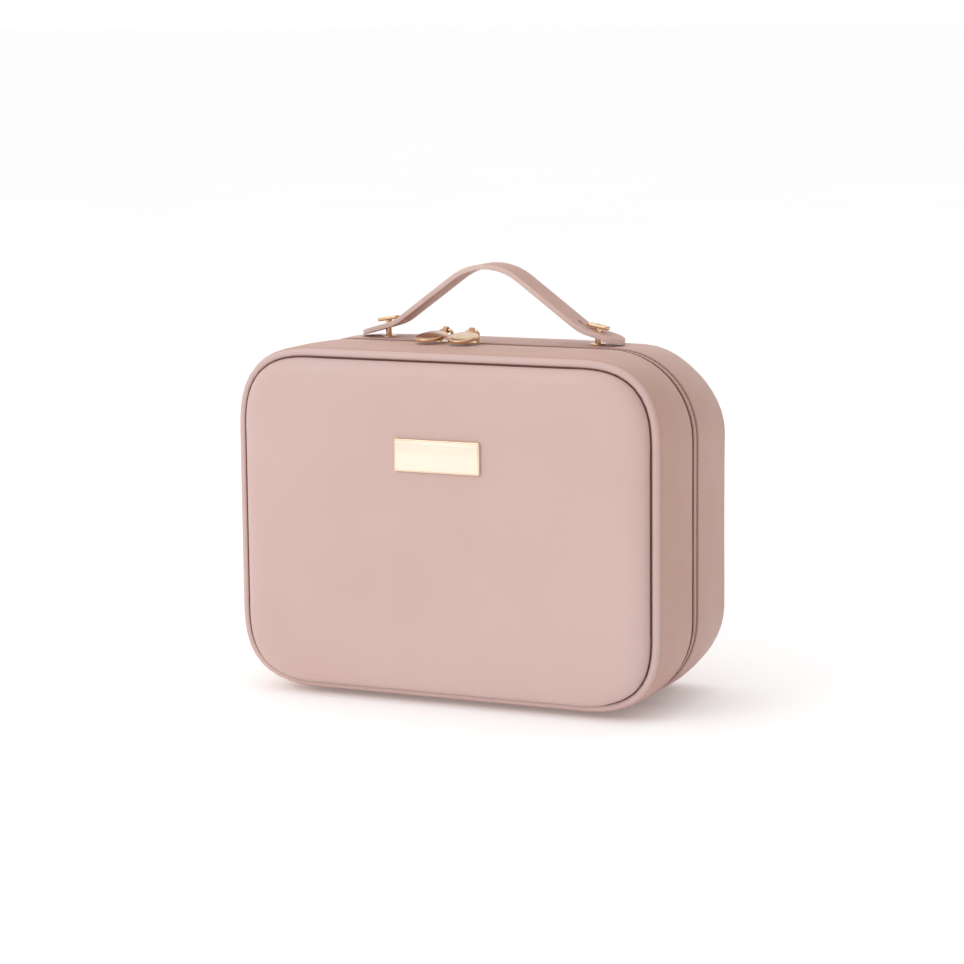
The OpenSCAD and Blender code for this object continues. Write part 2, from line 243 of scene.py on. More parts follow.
def modify(obj, kind, **settings):
    """Adds a modifier with its settings and applies it."""
    activate(obj)
    bpy.ops.object.modifier_add(type=kind)
    modifier = obj.modifiers[-1]
    for key, value in settings.items():
        setattr(modifier, key, value)
    bpy.ops.object.modifier_apply(modifier=modifier.name)


def smooth(obj, degrees=35):
    activate(obj)
    bpy.ops.object.shade_smooth_by_angle(angle=math.radians(degrees))


def mend(obj):
    """Merges doubled points and turns every face outwards."""
    with editing(obj):
        bpy.ops.mesh.remove_doubles(threshold=MERGE_GAP)
        bpy.ops.mesh.normals_make_consistent(inside=False)


def soften(obj, width, segments=2, degrees=30):
    """Rounds every edge sharper than the given angle."""
    modify(obj, "BEVEL", width=width, segments=segments, limit_method="ANGLE",
           angle_limit=math.radians(degrees), harden_normals=False)


def round_corners(obj, radius, axis, segments=8, test=None):
    """Rounds the edges that run along an axis (0, 1 or 2)."""
    def wanted(edge):
        along = edge.verts[1].co - edge.verts[0].co
        straight = abs(along[axis]) > 0.999 * along.length
        return straight and (test is None or test(edge))

    with editing(obj):
        pick(obj, "EDGE", wanted)
        bpy.ops.mesh.bevel(offset=radius, offset_type="OFFSET", segments=segments, affect="EDGES")


def extrude(obj, offset, kind="EDGE"):
    """Draws all the edges or faces out by an offset."""
    with editing(obj):
        pick(obj, kind, lambda part: True)
        bpy.ops.mesh.extrude_region_move(TRANSFORM_OT_translate={"value": offset})


def slice_at(obj, at, along, **settings):
    """Cuts right through a part at a plane."""
    with editing(obj):
        bpy.ops.mesh.bisect(plane_co=at, plane_no=along, **settings)


def combine(part, tool, operation="DIFFERENCE"):
    """Cuts a part with a tool, which is then dropped."""
    modify(part, "BOOLEAN", operation=operation, object=tool, solver="EXACT")
    drop(tool)


def join(name, parts):
    """Joins finished parts into one piece."""
    activate(parts[0])
    for part in parts[1:]:
        part.select_set(True)
    if len(parts) > 1:
        bpy.ops.object.join()
    return named(name)


def copy_of(obj, name):
    twin = obj.copy()
    twin.data = obj.data.copy()
    bpy.context.collection.objects.link(twin)
    twin.name = name
    twin.data.name = name
    return twin


def move(obj, matrix):
    """Moves, turns or mirrors a part and applies the change to its mesh."""
    activate(obj)
    obj.matrix_world = matrix
    bpy.ops.object.transform_apply()
    if matrix.determinant() < 0:
        with editing(obj):
            bpy.ops.mesh.normals_make_consistent(inside=False)


def drop(*objs):
    for obj in objs:
        bpy.data.objects.remove(obj)


def chain(name, points, closed=False):
    """A thin line drawn from point to point by extruding one vertex."""
    clear_selection()
    points = [Vector(point) for point in points]
    bpy.ops.mesh.primitive_plane_add(size=MM, location=points[0])
    line = named(name)
    bpy.ops.object.transform_apply()
    with editing(line):
        pick(line, "VERT", lambda v: True)
        bpy.ops.mesh.merge(type="CENTER")
        for start, end in zip(points, points[1:]):
            bpy.ops.mesh.extrude_vertices_move(TRANSFORM_OT_translate={"value": end - start})
        if closed:
            ends = (points[0], points[-1])
            pick(line, "VERT", lambda v: any((v.co - end).length < 1e-6 for end in ends))
            bpy.ops.mesh.edge_face_add()
    return line


def arc(centre, radius, start, end, steps):
    """Points on a flat arc, from one angle in degrees to another."""
    turns = [math.radians(start + (end - start) * i / steps) for i in range(steps + 1)]
    return [(centre[0] + radius * math.cos(a), centre[1] + radius * math.sin(a)) for a in turns]


def hoop_path(inset, open_bottom=False):
    """The case's outline, inset from its walls, as a flat curve, with or without its bottom run."""
    radius = CORNER_R - inset
    across, up = CASE_W / 2 - CORNER_R, CASE_H / 2 - CORNER_R
    corners = [(across, -up), (across, up), (-across, up), (-across, -up)]
    points = []
    for turn, centre in enumerate(corners):
        bend = arc(centre, radius, 90 * turn - 90, 90 * turn, CORNER_STEPS)
        if points:
            points += between(points[-1], bend[0])
        points += bend
    if not open_bottom:
        points += between(points[-1], points[0])
    path = chain("path", [(x, y + MID_Z, 0) for x, y in points], closed=not open_bottom)
    activate(path)
    bpy.ops.object.convert(target="CURVE")
    path.data.dimensions = "2D"
    path.data.fill_mode = "NONE"
    return path


def arch(half, foot, top, bend):
    """Points up one side of a round-shouldered arch and down the other."""
    return ([(-half, foot)] + arc((-half + bend, top - bend), bend, 180, 90, 6)
            + arc((half - bend, top - bend), bend, 90, 0, 6) + [(half, foot)])


def between(start, end):
    """Evenly spaced points between two others."""
    count = max(1, round(math.dist(start, end) / STRAIGHT_STEP))
    return [tuple(a + (b - a) * i / count for a, b in zip(start, end)) for i in range(1, count)]


def sweep(name, path, section):
    """Runs a closed section round the path. Section points are (outward from the path, along Y)."""
    outward = -1 if path.data.splines[0].use_cyclic_u else 1
    rim = chain("section", [(outward * out, -y, 0) for out, y in section], closed=True)
    activate(rim)
    bpy.ops.object.convert(target="CURVE")
    path.data.bevel_mode = "OBJECT"
    path.data.bevel_object = rim
    path.data.use_fill_caps = True
    activate(path)
    bpy.ops.object.convert(target="MESH")
    move(path, Matrix.Rotation(math.pi / 2, 4, "X"))
    drop(rim)
    path.name = name
    path.data.name = name
    mend(path)
    return path


def tube(name, points, radius, sides=3, closed=False):
    """A round wire through the points."""
    wire = chain(name, points, closed)
    activate(wire)
    bpy.ops.object.convert(target="CURVE")
    wire.data.bevel_depth = radius
    wire.data.bevel_resolution = sides
    wire.data.use_fill_caps = True
    bpy.ops.object.convert(target="MESH")
    with editing(wire):
        bpy.ops.mesh.fill_holes(sides=0)
    mend(wire)
    return wire


def ribbon(name, points, across, thick, **settings):
    """A band of even thickness that follows the points and reaches across by an offset."""
    band = chain(name, points)
    extrude(band, across)
    modify(band, "SOLIDIFY", thickness=thick, offset=0, **settings)
    mend(band)
    return band


def dress(piece, kind):
    """Gives a piece its material."""
    piece.data.materials.clear()
    piece.data.materials.append(finish_of(kind))


def place(piece, kind, slot, body, *nodes, angle=None):
    """Finishes a piece that moves with one body and stands for some nodes. An angle smooths it."""
    if angle:
        smooth(piece, angle)
    dress(piece, kind)
    if nodes:
        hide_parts(*nodes)
    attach(piece, body)


# ---- Materials ----

def feed(tree, socket, value):
    """Links another node's output to a socket, or sets the socket's value."""
    if isinstance(value, bpy.types.NodeSocket):
        tree.links.new(value, socket)
    else:
        socket.default_value = value


def map_range(tree, value, start, stop, low, high):
    """Maps a value from one range onto another."""
    node = tree.nodes.new("ShaderNodeMapRange")
    names = ("Value", "From Min", "From Max", "To Min", "To Max")
    for name, number in zip(names, (value, start, stop, low, high)):
        feed(tree, node.inputs[name], number)
    return node.outputs["Result"]


class Finish:
    """A material under construction, with short calls for its nodes."""

    def __init__(self, name, colour, roughness, **sockets):
        self.material = bpy.data.materials.new(name)
        self.material.use_nodes = True
        self.tree = self.material.node_tree
        self.shader = self.tree.nodes["Principled BSDF"]
        self.shader.inputs["Base Color"].default_value = (*colour, 1)
        self.shader.inputs["Roughness"].default_value = roughness
        for key, value in sockets.items():
            self.shader.inputs[key.replace("_", " ").title().replace("Ior", "IOR")].default_value = value
        self.place = self.tree.nodes.new("ShaderNodeTexCoord").outputs["Object"]

    def node(self, kind, **inputs):
        node = self.tree.nodes.new("ShaderNode" + kind)
        for key, value in inputs.items():
            feed(self.tree, node.inputs[key.replace("_", " ").title()], value)
        return node

    def noise(self, scale, detail=2.0, roughness=0.5):
        return self.node("TexNoise", vector=self.place, scale=scale, detail=detail,
                         roughness=roughness).outputs["Fac"]

    def cells(self, scale):
        return self.node("TexVoronoi", vector=self.place, scale=scale).outputs["Distance"]

    def stripes(self, per_metre, axis):
        """Waves along one axis."""
        node = self.node("TexWave", vector=self.place, scale=per_metre / 20 * math.pi)
        node.bands_direction = axis
        return node.outputs["Fac"]

    def add(self, first, second, kind="ADD"):
        node = self.tree.nodes.new("ShaderNodeMath")
        node.operation = kind
        for socket, value in zip(node.inputs, (first, second)):
            feed(self.tree, socket, value)
        return node.outputs["Value"]

    def tones(self, value, dark, light, start=0.3, stop=0.7):
        """Colours the surface between two tones."""
        ramp = self.tree.nodes.new("ShaderNodeValToRGB")
        for mark, position, tone in zip(ramp.color_ramp.elements, (start, stop), (dark, light)):
            mark.position = position
            mark.color = (*tone, 1)
        self.tree.links.new(value, ramp.inputs["Fac"])
        self.tree.links.new(ramp.outputs["Color"], self.shader.inputs["Base Color"])

    def gloss(self, value, low, high):
        """Varies the roughness between two values."""
        feed(self.tree, self.shader.inputs["Roughness"], map_range(self.tree, value, 0.3, 0.7, low, high))

    def bumps(self, *layers):
        """Stacks bump layers, each (height, distance, strength)."""
        normal = None
        for height, distance, strength in layers:
            node = self.node("Bump", height=height, distance=distance, strength=strength)
            if normal is not None:
                self.tree.links.new(normal, node.inputs["Normal"])
            normal = node.outputs["Normal"]
        self.tree.links.new(normal, self.shader.inputs["Normal"])


BLACK = (0, 0, 0)


def mix(first, second, share):
    """A colour part of the way from the first to the second."""
    return tuple(a + (b - a) * share for a, b in zip(first, second))


def leather(name="case_leather", painted_shade=0.0, roughness=0.46):
    """Coated leather: soft cloudy tone, fine pores and a low satin sheen."""
    palette = colours()
    # The second argument moves both tones towards the deep tone: copies of the leather darkened with
    # painted shade.
    light = mix(palette.skin, palette.skin_deep_and_shade, painted_shade)
    dark = mix(palette.skin, palette.skin_deep_and_shade, painted_shade + 0.3)
    finish = Finish(name, light, roughness, specular_ior_level=0.34 - 0.1 * painted_shade, sheen_weight=0.03,
                    sheen_roughness=0.5)
    finish.tones(finish.noise(9, 3), dark, light, 0.25, 0.6)
    finish.gloss(finish.noise(60, 4), roughness - 0.05, roughness + 0.07)
    finish.bumps((finish.noise(22, 2), 1.2 * MM, 0.10), (finish.cells(1500), 0.05 * MM, 0.35),
                 (finish.noise(700, 3), 0.05 * MM, 0.25))
    return finish.material


def woven(name, colour, thread_pitch, deep=0.72):
    """Plain weave: threads cross along all three axes, so every flat face shows two of them."""
    finish = Finish(name, colour, 0.8, specular_ior_level=0.25, sheen_weight=0.25,
                    sheen_roughness=0.5)
    count = 1 / thread_pitch
    across = finish.add(finish.stripes(count, "X"), finish.stripes(count, "Z"))
    weave = finish.add(finish.add(across, finish.stripes(count, "Y")), 1 / 3, "MULTIPLY")
    cloud = finish.add(weave, finish.noise(40, 3))
    finish.tones(cloud, mix(colour, BLACK, 1 - deep), colour, 0.55, 1.2)
    finish.bumps((weave, 0.12 * MM, 0.6), (finish.noise(1800, 2), 0.05 * MM, 0.4))
    return finish.material


def mottled(name, colour, roughness, shade, cloud, gloss=None, bump=None, **sockets):
    """A clouded surface. shade is (tone, share) and cloud the scale and detail of its noise.

    gloss is (scale, detail, smoothest, roughest) and bump is (scale, detail, depth, strength).
    """
    finish = Finish(name, colour, roughness, **sockets)
    finish.tones(finish.noise(*cloud), mix(colour, *shade), colour)
    if gloss:
        finish.gloss(finish.noise(*gloss[:2]), *gloss[2:])
    if bump:
        finish.bumps((finish.noise(*bump[:2]), *bump[2:]))
    return finish.material


def polished(name, colour, roughness):
    """Plated metal with faint smears and fine buffing marks."""
    return mottled(name, colour, roughness, ((0.5, 0.32, 0.18), 0.12), (180, 2),
                   (300, 4, roughness * 0.8, roughness * 1.35), (900, 2, 0.02 * MM, 0.12), metallic=1.0)


def satin_plate():
    """Brushed champagne plate: fine lines along its length."""
    colour = colours().plate
    finish = Finish("nameplate_satin", colour, 0.3, metallic=1.0)
    stretched = finish.node("Mapping", vector=finish.place, scale=(20, 900, 2600))
    brushing = finish.node("TexNoise", vector=stretched.outputs["Vector"], scale=1.0, detail=3.0)
    lines = brushing.outputs["Fac"]
    finish.tones(lines, mix(colour, (0.5, 0.4, 0.3), 0.08), colour)
    finish.gloss(lines, 0.24, 0.38)
    finish.bumps((lines, 0.01 * MM, 0.25))
    return finish.material


def net_cloth():
    """Fine see-through net, with round pits between its threads."""
    colour = mix(colours().lining, (1, 1, 1), 0.2)
    finish = Finish("pocket_net", colour, 0.7, specular_ior_level=0.25, alpha=0.62)
    pits = finish.cells(1100)
    finish.tones(pits, mix(colour, BLACK, 0.25), colour, 0.2, 0.6)
    finish.bumps((pits, 0.12 * MM, 0.6))
    return finish.material


MAKERS = {
    "leather": leather,
    # Copies of the leather darkened with painted shade: one for the walls and the strap, one for the back
    # half.
    "shaded_wall_leather": lambda: leather("shaded_wall_leather", 0.9, 0.5),
    "shaded_rear_leather": lambda: leather("shaded_rear_leather", 0.7, 0.5),
    "tape": lambda: woven("zip_tape_weave", colours().tape, 0.55 * MM),
    "lining": lambda: woven("lining_weave", colours().lining, 0.5 * MM, 0.85),
    "elastic": lambda: woven("elastic_rib", colours().elastic, 0.9 * MM, 0.6),
    "thread": lambda: woven("sewing_thread", mix(colours().skin, colours().seam, 0.15), 0.3 * MM),
    "gold": lambda: polished("rose_gold", colours().gold, 0.16),
    "plate": satin_plate,
    "plate_rim": lambda: polished("nameplate_rim", mix(colours().plate, colours().gold, 0.5), 0.22),
    "nylon": lambda: mottled("coil_nylon", mix(colours().tape, (0.3, 0.16, 0.12), 0.25), 0.4,
                             (BLACK, 0.15), (300, 2), (900, 2, 0.34, 0.5), specular_ior_level=0.5),
    "board": lambda: mottled("fibre_board", colours().board, 0.85, (BLACK, 0.3), (500, 5, 0.7),
                             bump=(900, 4, 0.08 * MM, 0.5), specular_ior_level=0.2),
    "steel": lambda: mottled("zinc_steel", colours().steel, 0.34, ((0.3, 0.3, 0.32), 0.4), (400, 3),
                             (800, 3, 0.26, 0.45), (2500, 2, 0.02 * MM, 0.3), metallic=1.0),
    # Painted shade, for the dark strips in the front crevice and the lid's zip groove.
    "seam": lambda: mottled("seam_painted_shade", colours().seam, 0.75, (BLACK, 0.3), (500, 2),
                            bump=(1200, 2, 0.08 * MM, 0.5), specular_ior_level=0.2),
    # Painted shadow: a softer line along the rear tape's edge, the tape colour mixed towards the painted
    # shade.
    "fold": lambda: woven("zip_tape_fold_shadow", mix(colours().tape, colours().seam, 0.65), 0.55 * MM),
    "net": net_cloth,
    "edge": lambda: mottled("strap_edge_paint", mix(colours().skin, (0.85, 0.66, 0.58), 0.35), 0.38,
                            ((0.3, 0.15, 0.12), 0.12), (120, 2), bump=(500, 2, 0.06 * MM, 0.3),
                            specular_ior_level=0.5),
}
MADE = {}


def finish_of(kind):
    """The shared material of that kind, made on first use."""
    if kind not in MADE:
        MADE[kind] = MAKERS[kind]()
    return MADE[kind]


# ---- Stage ----

def add_softbox(name, place_at, aim, size, power, colour=(1, 1, 1)):
    clear_selection()
    bpy.ops.object.light_add(type="AREA", location=place_at)
    lamp = named(name)
    lamp.data.shape = "RECTANGLE"
    lamp.data.size, lamp.data.size_y = size
    lamp.data.energy = power
    lamp.data.color = colour
    lamp.rotation_euler = (Vector(aim) - Vector(place_at)).to_track_quat("-Z", "Y").to_euler()


def shade_world(tree):
    """White all round, falling off towards the case's right so that its side reads darker."""
    backdrop = tree.nodes["Background"]
    backdrop.inputs["Color"].default_value = (1, 1, 1, 1)
    direction = tree.nodes.new("ShaderNodeTexCoord").outputs["Generated"]
    parts = tree.nodes.new("ShaderNodeSeparateXYZ")
    tree.links.new(direction, parts.inputs["Vector"])
    fall = map_range(tree, parts.outputs["X"], 0.1, 0.9, 1.0, 0.35)
    tree.links.new(fall, backdrop.inputs["Strength"])


def add_camera(context):
    azimuth, height, roll = (math.radians(angle) for angle in (26.04, 9.53, -0.68))
    distance = 1.81594
    aim = Vector((0, SEAM_Y, MID_Z))
    away = Vector((math.sin(azimuth) * math.cos(height), -math.cos(azimuth) * math.cos(height),
                   math.sin(height)))
    clear_selection()
    bpy.ops.object.camera_add(location=aim + distance * away)
    camera = bpy.context.object
    camera.name = "camera"
    camera.rotation_euler = (away.to_track_quat("Z", "Y").to_matrix()
                             @ Matrix.Rotation(roll, 3, "Z")).to_euler()
    camera.data.lens = 120.4
    camera.data.sensor_width = 36
    camera.data.shift_x = 0.0398
    camera.data.shift_y = 0.0507
    camera.data.dof.use_dof = False
    context.scene.camera = camera


class TRAINCASE_OT_stage(bpy.types.Operator):
    """Adds the floor, the backdrop, the soft lights and the camera"""

    bl_idname = "train_case.stage"
    bl_label = "Stage"

    def execute(self, context):
        clear_selection()
        bpy.ops.mesh.primitive_plane_add(size=60, location=(0, 0, -0.2 * MM))
        floor = named("floor")
        bpy.ops.object.transform_apply()
        paper = Finish("stage_paper", (0.97, 0.97, 0.97), 0.9, specular_ior_level=0.1)
        paper.tones(paper.noise(3, 2), (0.96, 0.96, 0.96), (0.98, 0.98, 0.98))
        paper.shader.inputs["Emission Color"].default_value = (1, 1, 1, 1)
        paper.shader.inputs["Emission Strength"].default_value = 0.14
        floor.data.materials.append(paper.material)
        world = bpy.data.worlds.new("studio")
        context.scene.world = world
        world.use_nodes = True
        shade_world(world.node_tree)
        add_softbox("key_light", (-0.9, -1.9, 1.5), (0, 0, 0.12), (1.4, 1.0), 10, (1, 0.985, 0.97))
        add_softbox("top_light", (0.1, 0.1, 2.0), (0, 0, 0.1), (1.4, 1.4), 4)
        context.scene.view_settings.view_transform = "Standard"
        context.scene.view_settings.look = "None"
        add_camera(context)
        return {"FINISHED"}


# ---- Padded pieces ----

def rim_place(x, z, half_w, half_h, radius):
    """Nearest point on a rounded outline round (0, MID_Z), and how far inside it (x, z) lies."""
    inner = Vector((max(radius - half_w, min(half_w - radius, x)),
                    max(radius - half_h, min(half_h - radius, z - MID_Z))))
    out = Vector((x, z - MID_Z)) - inner
    if out.length < 1e-6:
        edge = min(half_w - abs(x), half_h - abs(z - MID_Z))
        return None, edge
    rim = inner + out.normalized() * radius
    return (rim.x, rim.y + MID_Z), radius - out.length


def clamp(value, low=0, high=1):
    return max(low, min(high, value))


def backness(y):
    """0 at the zipper's side of the rear half, rising to 1 at its back."""
    return max(0, (y - REAR_LOW.y) / (BACK_HIGH.y - REAR_LOW.y)) ** 1.2


def frontness(y):
    """0 at the zipper's side of the lid, 1 from the front seam on."""
    return clamp((WALL_HIGH.y - y) / (WALL_HIGH.y - SEAM_Y))


def ease_corners(shell):
    """Squares the corners up towards the front seam and draws them in towards the back."""
    for point in shell.data.vertices:
        rim, _ = rim_place(point.co.x, point.co.z, CASE_W / 2, CASE_H / 2, CORNER_R)
        if rim is None:
            continue
        side = abs(abs(rim[0]) - CASE_W / 2) < CORNER_R
        level = abs(abs(rim[1] - MID_Z) - CASE_H / 2) < CORNER_R
        if not (side and level):
            continue
        centre = Vector((math.copysign(CASE_W / 2 - CORNER_R, rim[0]),
                         math.copysign(CASE_H / 2 - CORNER_R, rim[1] - MID_Z)))
        out = Vector((point.co.x, point.co.z - MID_Z)) - centre
        turn = math.atan2(abs(out.y), abs(out.x))
        if point.co.y > ZIP_Y:
            pull = CORNER_EASE * backness(point.co.y)
        else:
            pull = -CORNER_FILL * frontness(point.co.y)
        pull *= math.sin(2 * turn) ** 2 * min(1, out.length / (30 * MM))
        out -= out.normalized() * pull
        point.co.x, point.co.z = centre.x + out.x, centre.y + out.y + MID_Z


def drop_shoulders(shell):
    """Lowers the rear half's upper corners towards the back."""
    for point in shell.data.vertices:
        out = clamp((abs(point.co.x) - 45 * MM) / (65 * MM))
        high = clamp((point.co.z - MID_Z) / (60 * MM))
        point.co.z -= SHOULDER_DROP * backness(point.co.y) * out ** 1.5 * high


def lift_toe(shell):
    """Raises the front lower edge, where the padding rounds away from the ground."""
    for point in shell.data.vertices:
        low = max(0, 1 - point.co.z / (70 * MM)) ** 2
        point.co.z += TOE_LIFT * low * frontness(point.co.y)


def shape_lid(shell):
    ease_corners(shell)
    lift_toe(shell)


def shape_rear(shell):
    ease_corners(shell)
    drop_shoulders(shell)


def rounded_grid(name, half_w, half_h, radius, step):
    """A flat grid that faces -Y, its rings bent round the corners of a rounded outline."""
    grid = add_grid(name, 2 * round(half_w / step), 2 * round(half_h / step))
    for point in grid.data.vertices:
        x, z = 2 * half_w * point.co.x, 2 * half_h * point.co.y
        depth = min(half_w - abs(x), half_h - abs(z))
        bend = radius - depth
        if bend > 0:
            wide, tall = half_w - depth, half_h - depth
            on_side = half_w - abs(x) < half_h - abs(z)
            along = tall - abs(z) if on_side else abs(x) - wide
            if abs(along) < bend:
                turn = math.radians(45 - 45 * along / bend)
                x = math.copysign(wide - bend + bend * math.cos(turn), x)
                z = math.copysign(tall - bend + bend * math.sin(turn), z)
        point.co = (x, 0, z + MID_Z)
    return grid


SWELL_FRAMES = 20
PUFF_CAP = 0.5 * MM


def swell(sheet, pressure, held):
    """Inflates a sheet as cloth, held along its rim."""
    group = sheet.vertex_groups.new(name="sewn")
    group.add([point.index for point in sheet.data.vertices if held(point.co)], 1.0, "REPLACE")
    activate(sheet)
    bpy.ops.object.modifier_add(type="CLOTH")
    cloth = sheet.modifiers[-1]
    for key, value in {"quality": 6, "mass": 0.3, "tension_stiffness": 20, "bending_stiffness": 2.0,
                       "use_pressure": True, "uniform_pressure_force": pressure}.items():
        setattr(cloth.settings, key, value)
    cloth.settings.effector_weights.gravity = 0
    cloth.settings.vertex_group_mass = "sewn"
    cloth.collision_settings.use_collision = False
    cloth.point_cache.frame_start = 1
    cloth.point_cache.frame_end = SWELL_FRAMES
    scene = bpy.context.scene
    for step in range(1, SWELL_FRAMES + 1):
        scene.frame_set(step)
    bpy.ops.object.modifier_apply(modifier=cloth.name)
    scene.frame_set(1)
    sheet.vertex_groups.clear()


def crown_pad(name, low, high, radius, crown, reach):
    """A padded slab whose -Y face swells as cloth and is crowned over a reach inside its rim."""
    half_w, half_h = high[0], (high[2] - low[2]) / 2
    pad = rounded_grid(name, half_w, half_h, radius, 3.6 * MM)
    flat = [point.co.copy() for point in pad.data.vertices]
    swell(pad, 3.0, lambda co: rim_place(co.x, co.z, half_w, half_h, radius)[1] < 0.1 * MM)
    for point, start in zip(pad.data.vertices, flat):
        depth = rim_place(start.x, start.z, half_w, half_h, radius)[1]
        puff = clamp(-point.co.y, -PUFF_CAP, PUFF_CAP) * min(depth / (15 * MM), 1)
        point.co = (start.x, -puff, start.z)
    modify(pad, "SUBSURF", levels=1, render_levels=1)
    for point in pad.data.vertices:
        depth = rim_place(point.co.x, point.co.z, half_w, half_h, radius)[1]
        share = clamp(depth / reach)
        point.co.y += low[1] - crown * (1 - (1 - share) ** 3) ** 0.6
    count = len(pad.data.vertices)
    extrude(pad, (0, high[1] - low[1], 0), "FACE")
    for point in pad.data.vertices[count:]:
        point.co.y = high[1]
    mend(pad)
    smooth(pad, 70)
    return pad


def settle(pad):
    """The filling sinks a little, so that the lower edge bulges over its seam."""
    for point in pad.data.vertices:
        low = max(0, 1 - (point.co.z - PANEL_LOW.z) / (30 * MM)) ** 2
        proud = clamp((SEAM_Y - point.co.y) / (5 * MM))
        point.co.z -= 4.8 * MM * low * proud


class TRAINCASE_OT_front_cushion(bpy.types.Operator):
    """Models the padded, crowned front panel"""

    bl_idname = "train_case.front_cushion"
    bl_label = "Front cushion"

    def execute(self, context):
        rim = sizes().seam_gap
        low = (PANEL_LOW.x - rim, SEAM_Y, PANEL_LOW.z - rim)
        high = (PANEL_HIGH.x + rim, PANEL_HIGH.y, PANEL_HIGH.z + rim)
        crown = SEAM_Y - PANEL_LOW.y - 0.5 * MM
        radius = CORNER_R - (WALL_HIGH.x - high[0])
        pad = crown_pad("front_cushion", low, high, radius, crown, reach=14 * MM)
        settle(pad)
        shape_lid(pad)
        place(pad, "leather", "case_skin", LID, "front_panel")
        return {"FINISHED"}


class TRAINCASE_OT_back_cushion(bpy.types.Operator):
    """Models the padded back panel inside the turned edge"""

    bl_idname = "train_case.back_cushion"
    bl_label = "Back cushion"

    def execute(self, context):
        inset = BACK_TURN_R + BACK_TAPER - 1 * MM
        low = (BACK_LOW.x + inset, 1.4 * MM - BACK_HIGH.y, BACK_LOW.z + inset)
        high = (BACK_HIGH.x - inset, -REAR_CLOTH_HIGH.y - 0.2 * MM, BACK_HIGH.z - inset)
        pad = crown_pad("back_cushion", low, high, CORNER_R - inset, crown=1.1 * MM, reach=10 * MM)
        move(pad, Matrix.Rotation(math.pi, 4, "Z"))
        shape_rear(pad)
        # Leather darkened with painted shade.
        place(pad, "shaded_rear_leather", "case_skin", REAR, "rear_panel")
        return {"FINISHED"}


# ---- Welt and walls ----

class TRAINCASE_OT_welt(bpy.types.Operator):
    """Models the piping round the front, its sewn flange and a dark strip of painted shade in the crevice
    beside it
    """

    bl_idname = "train_case.welt"
    bl_label = "Welt"

    def execute(self, context):
        centre = WALL_HIGH.x - WELT_HIGH.x + WELT_R
        half, near, far = 1.2 * MM, WELT_Y + 1.1 * MM, WALL_LOW.y + 3 * MM
        flange = [(half, near), (half, far), (-half, far), (-half, near)]
        roll = arc((0, WELT_Y), WELT_R, 150, 390, 22)
        welt = sweep("front_welt", hoop_path(centre), roll + flange)
        shape_lid(welt)
        place(welt, "leather", "case_skin", LID, "front_piping", angle=50)
        depth = centre + WELT_R
        # A dark strip of painted shade in the crevice between the cushion's rim and the welt.
        fold = [(-0.5 * MM, SEAM_Y - 0.6 * MM), (0.5 * MM, SEAM_Y - 0.6 * MM),
                (0.5 * MM, SEAM_Y + 3 * MM), (-0.5 * MM, SEAM_Y + 3 * MM)]
        seam = sweep("front_seam_shade_strip", hoop_path(depth), fold)
        shape_lid(seam)
        place(seam, "seam", "case_skin", LID, angle=35)
        return {"FINISHED"}


def wall_section(front, rear, bulge, roll, turned):
    """Section of a padded wall with rounded edges. turned is the radius of the rear edge."""
    steps = 12
    outer = [(bulge * math.sin(math.pi * i / steps) ** 0.8,
              front + roll + (rear - turned - front - roll) * i / steps) for i in range(steps + 1)]
    front_edge = arc((-roll, front + roll), roll, 270, 360, 5)[:-1]
    rear_edge = arc((-turned, rear - turned), turned, 0, 90, 6)[1:]
    inner = [(-WALL_T, rear), (-WALL_T, front)]
    return front_edge + outer + rear_edge + inner


def rear_section(swelling):
    """The wall, which leans in towards the back, then a quarter turn on to the back face."""
    start = REAR_LOW.y
    edge_y = BACK_HIGH.y - 0.3 * MM - BACK_TURN_R
    lip, skin, steps = 1.3 * MM, 1.4 * MM, 10
    front_edge = arc((-lip, start + lip), lip, 270, 360, 5)[:-1]
    side = [(swelling * math.sin(math.pi * i / steps) ** 0.8 - BACK_TAPER * (i / steps) ** 1.8,
             start + lip + (edge_y - start - lip) * i / steps) for i in range(steps + 1)]
    centre = (-BACK_TURN_R - BACK_TAPER, edge_y)
    turn = arc(centre, BACK_TURN_R, 0, 90, 12)[1:]
    reach = centre[0] - 2 * MM
    back = [(reach, BACK_HIGH.y - skin), (reach, BACK_HIGH.y - 4 * MM)]
    inner = arc(centre, BACK_TURN_R - skin, 90, 0, 8)
    return front_edge + side + turn + back + inner + [(-WALL_T, start)]


def ripple(wall, depth):
    """Slow unevenness of soft padding."""
    clouds = bpy.data.textures.new(wall.name + "_unevenness", "CLOUDS")
    clouds.noise_scale = 0.05
    clouds.noise_depth = 1
    modify(wall, "DISPLACE", texture=clouds, strength=depth, mid_level=0.5, texture_coords="LOCAL")


class TRAINCASE_OT_walls(bpy.types.Operator):
    """Models the padded wall of each half"""

    bl_idname = "train_case.walls"
    bl_label = "Walls"

    def execute(self, context):
        swelling = sizes().wall_bulge
        front = wall_section(WELT_Y - 0.4 * MM, WALL_HIGH.y, swelling, roll=2.2 * MM, turned=1 * MM)
        wall = sweep("lid_wall", hoop_path(0), front)
        shape_lid(wall)
        ripple(wall, 0.25 * MM)
        # Leather darkened with painted shade.
        place(wall, "shaded_wall_leather", "case_skin", LID, "lid_gusset", angle=45)
        shell = sweep("rear_wall", hoop_path(0), rear_section(swelling))
        shape_rear(shell)
        ripple(shell, 0.6 * MM)
        # Leather darkened with painted shade.
        place(shell, "shaded_rear_leather", "case_skin", REAR, "rear_gusset", angle=45)
        return {"FINISHED"}


# ---- Zipper and hinge ----

